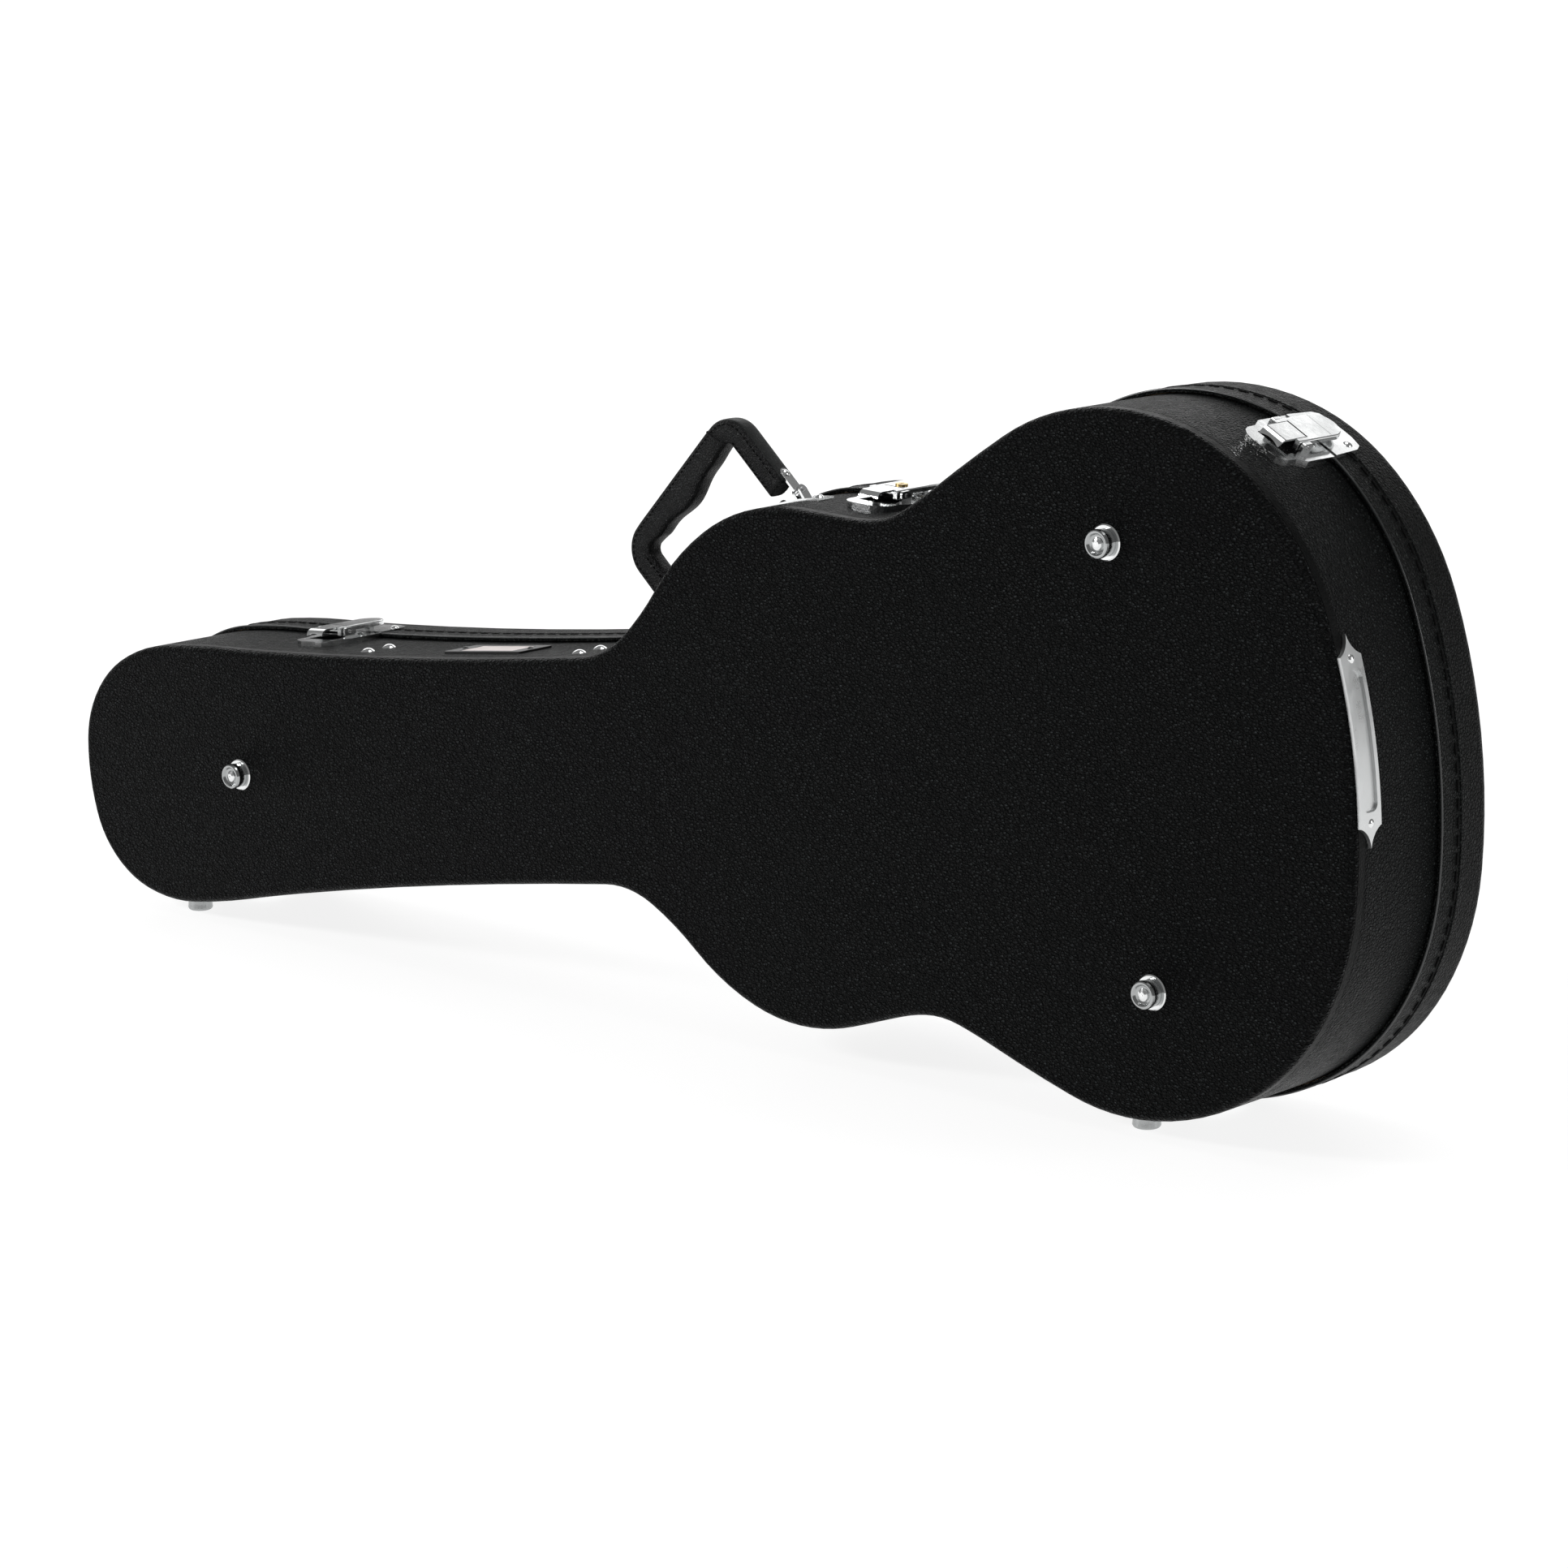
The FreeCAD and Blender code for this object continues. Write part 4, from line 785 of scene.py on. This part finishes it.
def seam_spots(inset, side):
    """Places of the stitches at an inset from the outer edge, on one side of the handle."""
    spots = []
    path = handle_line(inset, 3.6)
    for (a, b, _, nb), (next_a, next_b, _, _) in zip(path[1:-2], path[2:-1]):
        if inset == INNER_SEAM and nb > 0.3:
            continue
        here = handle_row(a, b, side * STITCH_SIDE)
        after = handle_row(next_a, next_b, side * STITCH_SIDE)
        lift = GRIP_LIFT if nb > 0.999 else 0.0
        centre = handle_row(a, b, side * (STITCH_SIDE + lift))
        spots.append((centre, (after - here).normalized(), Vector((0, side, 0))))
    return spots


def handle_stitches():
    """Two seams on each side; the inner one runs on the arms only."""
    spots = []
    for inset in (OUTER_SEAM, INNER_SEAM):
        for side in (-1, 1):
            spots += seam_spots(inset, side)
    seams = stitch_row("handle_stitches", spots, 2.2 * MM, 0.8 * MM, 0.32 * MM)
    paint(seams, "thread")
    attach(seams, "handle")


def grip_fold():
    """Raised fold in the leather where the padded grip ends, near the butt-side corner."""
    a = OUTER_EDGE - CORNER - 3.0
    origin = handle_row(a, RISE, 0)
    along = (handle_row(a + 1, RISE, 0) - origin).normalized()
    inward = (handle_row(a, RISE - 1, 0) - origin).normalized()
    loop = grip_section(a, RISE, 0.0, 1.0)
    centre = sum(loop, Vector()) / len(loop)
    vertices = []
    for point in loop:
        outward = (point - centre).normalized()
        lean = ((point - origin).dot(inward) / (ARM * MM)) ** 2
        place = point + along * (lean * 6.0 * MM) - outward * 0.4 * MM
        for across, ahead in round_section(0.0, 0.0, 1.1, 1.0, FOLD_SIDES):
            vertices.append(place + outward * (across * MM) + along * (ahead * MM))
    fold = make("handle_fold", vertices, tube_faces(len(loop), FOLD_SIDES, True))
    subdivided(fold, 1)
    paint(fold, "leather")
    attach(fold, "handle")


handle_grip()
handle_band()
handle_stitches()
grip_fold()


# ---------------------------------------------------------------- plush linings
PAD_COLUMNS = 28
PAD_SPACING = 7.0
# Rounding of a pad's edge, room left above it for rumples, and where the rumples reach full height.
PAD_ROUND = 9.0
PAD_SPARE = 0.9
RUMPLED_FROM = 14.0
BASE_PAD_OFFSET = -7.6
BASE_PAD_Y = (2.7, 11.0)
LID_PAD_OFFSET = -4.6
LID_PAD_Y = (113.0, 121.3)
# Stations past the two ends of the case, for a pad that reaches its rim there.
PAST_HEAD = -5.0
PAST_BUTT = 1100.0
WALL_PAD_THICK = 6.4
WALL_PAD_THIN = 0.6
WALL_PAD_ROUND = 7.0
WALL_PAD_STEPS = 12
WALL_SPACING = 6.0
# Only a wall pad taller than this has a seam; then the seam's depth and its half width.
SEAM_FROM_HEIGHT = 30
SEAM_DEPTH = 1.6
SEAM_REACH = 2.2
BASE_WALL_PAD_OFFSET = -6.9
BASE_WALL_PAD_Y = (11.8, 83.5)
LID_WALL_PAD_OFFSET = -3.9
LID_WALL_PAD_Y = (93.0, 112.0)
BULKHEADS = (268.0, 461.0)
# How far the floor pads and the wall pads stop short of a bulkhead.
PAD_GAP = 5.0
BULKHEAD_GAP = 6.0


def rim_distance(x, z, chain):
    return min(math.hypot(x - p[0], z - p[1]) for p in chain)


def crowned(distance, radius):
    """Height, 0 to 1, of a rounded edge at a distance in from it."""
    t = min(max(distance / radius, 0.0), 1.0)
    return math.sqrt(max(0.0, 1 - (1 - t) ** 2))


def pad_height(x, z, edge, room):
    """Height of a pad at a distance in from its edge: rounded, then slightly rumpled."""
    rumple = noise.noise(Vector((x * 0.02, z * 0.02, 3.1))) * 0.9
    rumple += noise.noise(Vector((x * 0.07, z * 0.05, 7.7))) * 0.35
    height = (0.35 + 0.65 * crowned(edge, PAD_ROUND)) * (room - PAD_SPARE)
    return min(height + rumple * min(1.0, edge / RUMPLED_FROM), room)


def board_faces(rows, columns):
    """Faces of a closed board whose top and bottom are grids of vertices, joined round the border."""
    width = columns + 1
    base = rows * width
    faces = []
    for i in range(rows - 1):
        for j in range(columns):
            a = i * width + j
            faces.append((a, a + 1, a + width + 1, a + width))
            faces.append((base + a, base + a + width, base + a + width + 1, base + a + 1))
    border = list(range(width)) + [i * width + columns for i in range(1, rows)]
    border += [(rows - 1) * width + j for j in range(columns - 1, -1, -1)]
    border += [i * width for i in range(rows - 2, 0, -1)]
    for a, b in zip(border, border[1:] + border[:1]):
        faces.append((a, base + a, base + b, b))
    return faces


def pad(name, offset, x0, x1, low, high, body, flip=False, replaced=()):
    """Padded board between two stations; its soft side faces high, or low if flip is set."""
    half = [p for p in moved(offset) if x0 <= p[0] <= x1 and p[1] >= 0]
    half = evenly(half, PAD_SPACING, False)
    chain = half + [(x, -z, 0, 0) for x, z, _, _ in half]
    top = []
    for x, half_width, _, _ in half:
        for j in range(PAD_COLUMNS + 1):
            z = half_width * math.sin(math.pi / 2 * (2 * j / PAD_COLUMNS - 1))
            edge = rim_distance(x, z, chain)
            if x0 > PAST_HEAD:
                edge = min(edge, x - half[0][0])
            if x1 < PAST_BUTT:
                edge = min(edge, half[-1][0] - x)
            top.append((x, z, pad_height(x, z, edge, high - low)))
    vertices = [row(x, high - height if flip else low + height, z) for x, z, height in top]
    vertices += [row(x, high if flip else low, z) for x, z, _ in top]
    faces = board_faces(len(half), PAD_COLUMNS)
    obj = make(name, vertices, faces)
    paint(obj, "plush")
    if replaced:
        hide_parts(*replaced)
    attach(obj, body)


pad("floor_lining_body", BASE_PAD_OFFSET, BULKHEADS[1] + PAD_GAP, PAST_BUTT, *BASE_PAD_Y, "base",
    replaced=("base_floor_pad",))
pad("floor_lining_head", BASE_PAD_OFFSET, PAST_HEAD, BULKHEADS[0] - PAD_GAP, *BASE_PAD_Y, "base")
pad("lid_lining", LID_PAD_OFFSET, PAST_HEAD, PAST_BUTT, *LID_PAD_Y, "lid", flip=True, replaced=("lid_pad",))


def wall_pad_depth(t, low, high, ripple):
    """Depth of a wall pad at a part t of its height: crowned, with a seam at mid height if it is tall."""
    height = high - low
    edge = min(t, 1 - t) * height
    puff = 0.25 + 0.75 * crowned(edge, WALL_PAD_ROUND)
    seam = 0.0
    if height > SEAM_FROM_HEIGHT:
        y = low + height * t
        seam = SEAM_DEPTH * math.exp(-((y - (low + high) / 2) / SEAM_REACH) ** 2)
    depth = puff * (WALL_PAD_THICK - WALL_PAD_THIN) + ripple * min(1, edge / 8) - seam
    return min(max(WALL_PAD_THIN, depth), WALL_PAD_THICK)


def wall_lining(name, stations, offset, low, high, body, closed, replaced=()):
    """Padded strip on the inside of a wall, rippled along its length."""
    def section(i):
        x, z, _, _ = stations[i]
        ripple = noise.noise(Vector((x * 0.03, z * 0.03, 5.0))) * 0.5
        pairs = [(offset, low), (offset, high)]
        for k in range(WALL_PAD_STEPS + 1):
            t = 1 - k / WALL_PAD_STEPS
            pairs.append((offset - wall_pad_depth(t, low, high, ripple), low + (high - low) * t))
        return pairs

    obj = sweep(name, stations, section, closed)
    paint(obj, "plush")
    if replaced:
        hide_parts(*replaced)
    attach(obj, body)


around = evenly(full(0), WALL_SPACING, True)
head_run = [p for p in around if p[0] < BULKHEADS[0] - BULKHEAD_GAP]
# The head's run is turned to begin just after its widest gap, at the neck.
split = max(range(1, len(head_run)), key=lambda i: math.dist(head_run[i][:2], head_run[i - 1][:2]))
head_run = head_run[split:] + head_run[:split]
body_run = [p for p in around if p[0] > BULKHEADS[1] + BULKHEAD_GAP]
neck_run = [p for p in around if BULKHEADS[0] + BULKHEAD_GAP < p[0] < BULKHEADS[1] - BULKHEAD_GAP]
neck_up = [p for p in neck_run if p[1] > 0]
neck_low = [p for p in neck_run if p[1] < 0]
for part_name, run, pads in (("body", body_run, ("base_wall_pad",)), ("head", head_run, ()),
                             ("neck_up", neck_up, ()), ("neck_low", neck_low, ())):
    wall_lining("wall_lining_" + part_name, run, BASE_WALL_PAD_OFFSET, *BASE_WALL_PAD_Y, "base", False, pads)
wall_lining("lid_wall_lining", around, LID_WALL_PAD_OFFSET, *LID_WALL_PAD_Y, "lid", True, ("lid_wall_pad",))


# Smoothing of the remeshed cradle and box lid, then the height of the puffing in metres and its fineness.
RELAX_FACTOR = 0.5
RELAX_ROUNDS = 6
PUFF = 0.0005
PUFF_SCALE = 40


def softened(node, name, voxel, body):
    """Copy of a soft CAD solid with its edges rounded over and its faces gently puffed."""
    obj = bpy.data.objects.new(name, NODES[node].data.copy())
    bpy.context.scene.collection.objects.link(obj)
    remesh = obj.modifiers.new("remesh", "REMESH")
    remesh.mode = "VOXEL"
    remesh.voxel_size = voxel
    relax = obj.modifiers.new("relax", "SMOOTH")
    relax.factor = RELAX_FACTOR
    relax.iterations = RELAX_ROUNDS
    graph = bpy.context.evaluated_depsgraph_get()
    final = bpy.data.meshes.new_from_object(obj.evaluated_get(graph))
    obj.modifiers.clear()
    obj.data = final
    final.name = name
    for vertex in final.vertices:
        p = vertex.co
        wave = noise.noise(Vector((p.x * PUFF_SCALE, p.y * PUFF_SCALE, p.z * PUFF_SCALE)))
        vertex.co = p + vertex.normal * (wave * PUFF)
    for polygon in final.polygons:
        polygon.use_smooth = True
    paint(obj, "plush")
    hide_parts(node)
    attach(obj, body)


softened("neck_cradle", "neck_cradle_pad", 0.003, "base")
softened("box_lid", "box_lid_padded", 0.0022, "box_lid")


# Half width and height round the tab, as parts of its own half width and in mm.
TAB_SECTION = ((-1, 0), (-0.96, 0.5), (0, 0.62), (0.96, 0.5), (1, 0), (0.96, -0.5), (0, -0.5), (-0.96, -0.5))


def pull_tab():
    """Folded leather tab, a little arched and narrower at its free end."""
    low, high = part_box("box_pull_tab")
    centre = (low + high) / 2
    across = Vector((COS, 0, SIN))
    up = Vector((-SIN, 0, COS))
    vertices = []
    stations = 14
    for i in range(stations + 1):
        t = i / stations
        reach = (t - 0.5) * 15.5 * MM
        lift = math.sin(t * math.pi) * 0.5 * MM
        half = (8.6 - 2.0 * max(0.0, t - 0.75) * 4) * MM
        for w, h in TAB_SECTION:
            p = centre + across * (half * w) + up * reach + Vector((0, lift + h * 0.9 * MM, 0))
            vertices.append(p)
    obj = make("pull_tab", vertices, tube_faces(stations + 1, len(TAB_SECTION), False))
    subdivided(obj, 1)
    paint(obj, "leather")
    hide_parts("box_pull_tab")
    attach(obj, "box_lid")


pull_tab()

# ---------------------------------------------------------------- stage
FLOOR_HALF = 30.0
SKY_STRENGTH = 0.22
LENS = 108.9
SENSOR = 36.0
CAMERA_PLACE = (1.955, -2.141, 0.766)
CAMERA_FORWARD = (-0.6476, 0.7325, -0.2102)
CAMERA_RIGHT = (0.7496, 0.6620, -0.0024)

corners = [(-FLOOR_HALF, -FLOOR_HALF, 0), (FLOOR_HALF, -FLOOR_HALF, 0), (FLOOR_HALF, FLOOR_HALF, 0),
           (-FLOOR_HALF, FLOOR_HALF, 0)]
floor = make("studio_floor_plane", corners, [(0, 1, 2, 3)])
paint(floor, "floor")

scene = bpy.context.scene
world = bpy.data.worlds.new("studio")
scene.world = world
world.use_nodes = True
world.node_tree.nodes["Background"].inputs["Color"].default_value = (1, 1, 1, 1)
world.node_tree.nodes["Background"].inputs["Strength"].default_value = SKY_STRENGTH
scene.view_settings.view_transform = "Standard"


def area(name, place, aim, width, height, power):
    """Soft rectangular light at a place, turned to its aim."""
    light = bpy.data.lights.new(name, "AREA")
    light.shape = "RECTANGLE"
    light.size = width
    light.size_y = height
    light.energy = power
    obj = bpy.data.objects.new(name, light)
    scene.collection.objects.link(obj)
    obj.location = place
    obj.rotation_euler = (Vector(aim) - Vector(place)).to_track_quat("-Z", "Y").to_euler()


area("back_sweep", (-1.9, 2.4, 1.75), (0, 0, 0.3), 4.6, 2.0, 38)
area("overhead", (0.5, 0.3, 2.6), (0, 0, 0.2), 1.6, 1.2, 20)
area("right_side", (3.0, 1.2, 1.1), (0.3, 0, 0.2), 0.8, 1.4, 26)
area("front_left", (-2.0, -2.4, 1.75), (0, 0, 0.2), 0.7, 0.7, 75)

camera_data = bpy.data.cameras.new("camera")
camera_data.sensor_width = SENSOR
camera_data.lens = LENS
camera = bpy.data.objects.new("camera", camera_data)
scene.collection.objects.link(camera)
camera.location = CAMERA_PLACE
forward = Vector(CAMERA_FORWARD).normalized()
right = Vector(CAMERA_RIGHT)
right = (right - forward * right.dot(forward)).normalized()
upward = right.cross(forward)
camera.rotation_euler = Matrix((right, upward, -forward)).transposed().to_euler()
scene.camera = camera
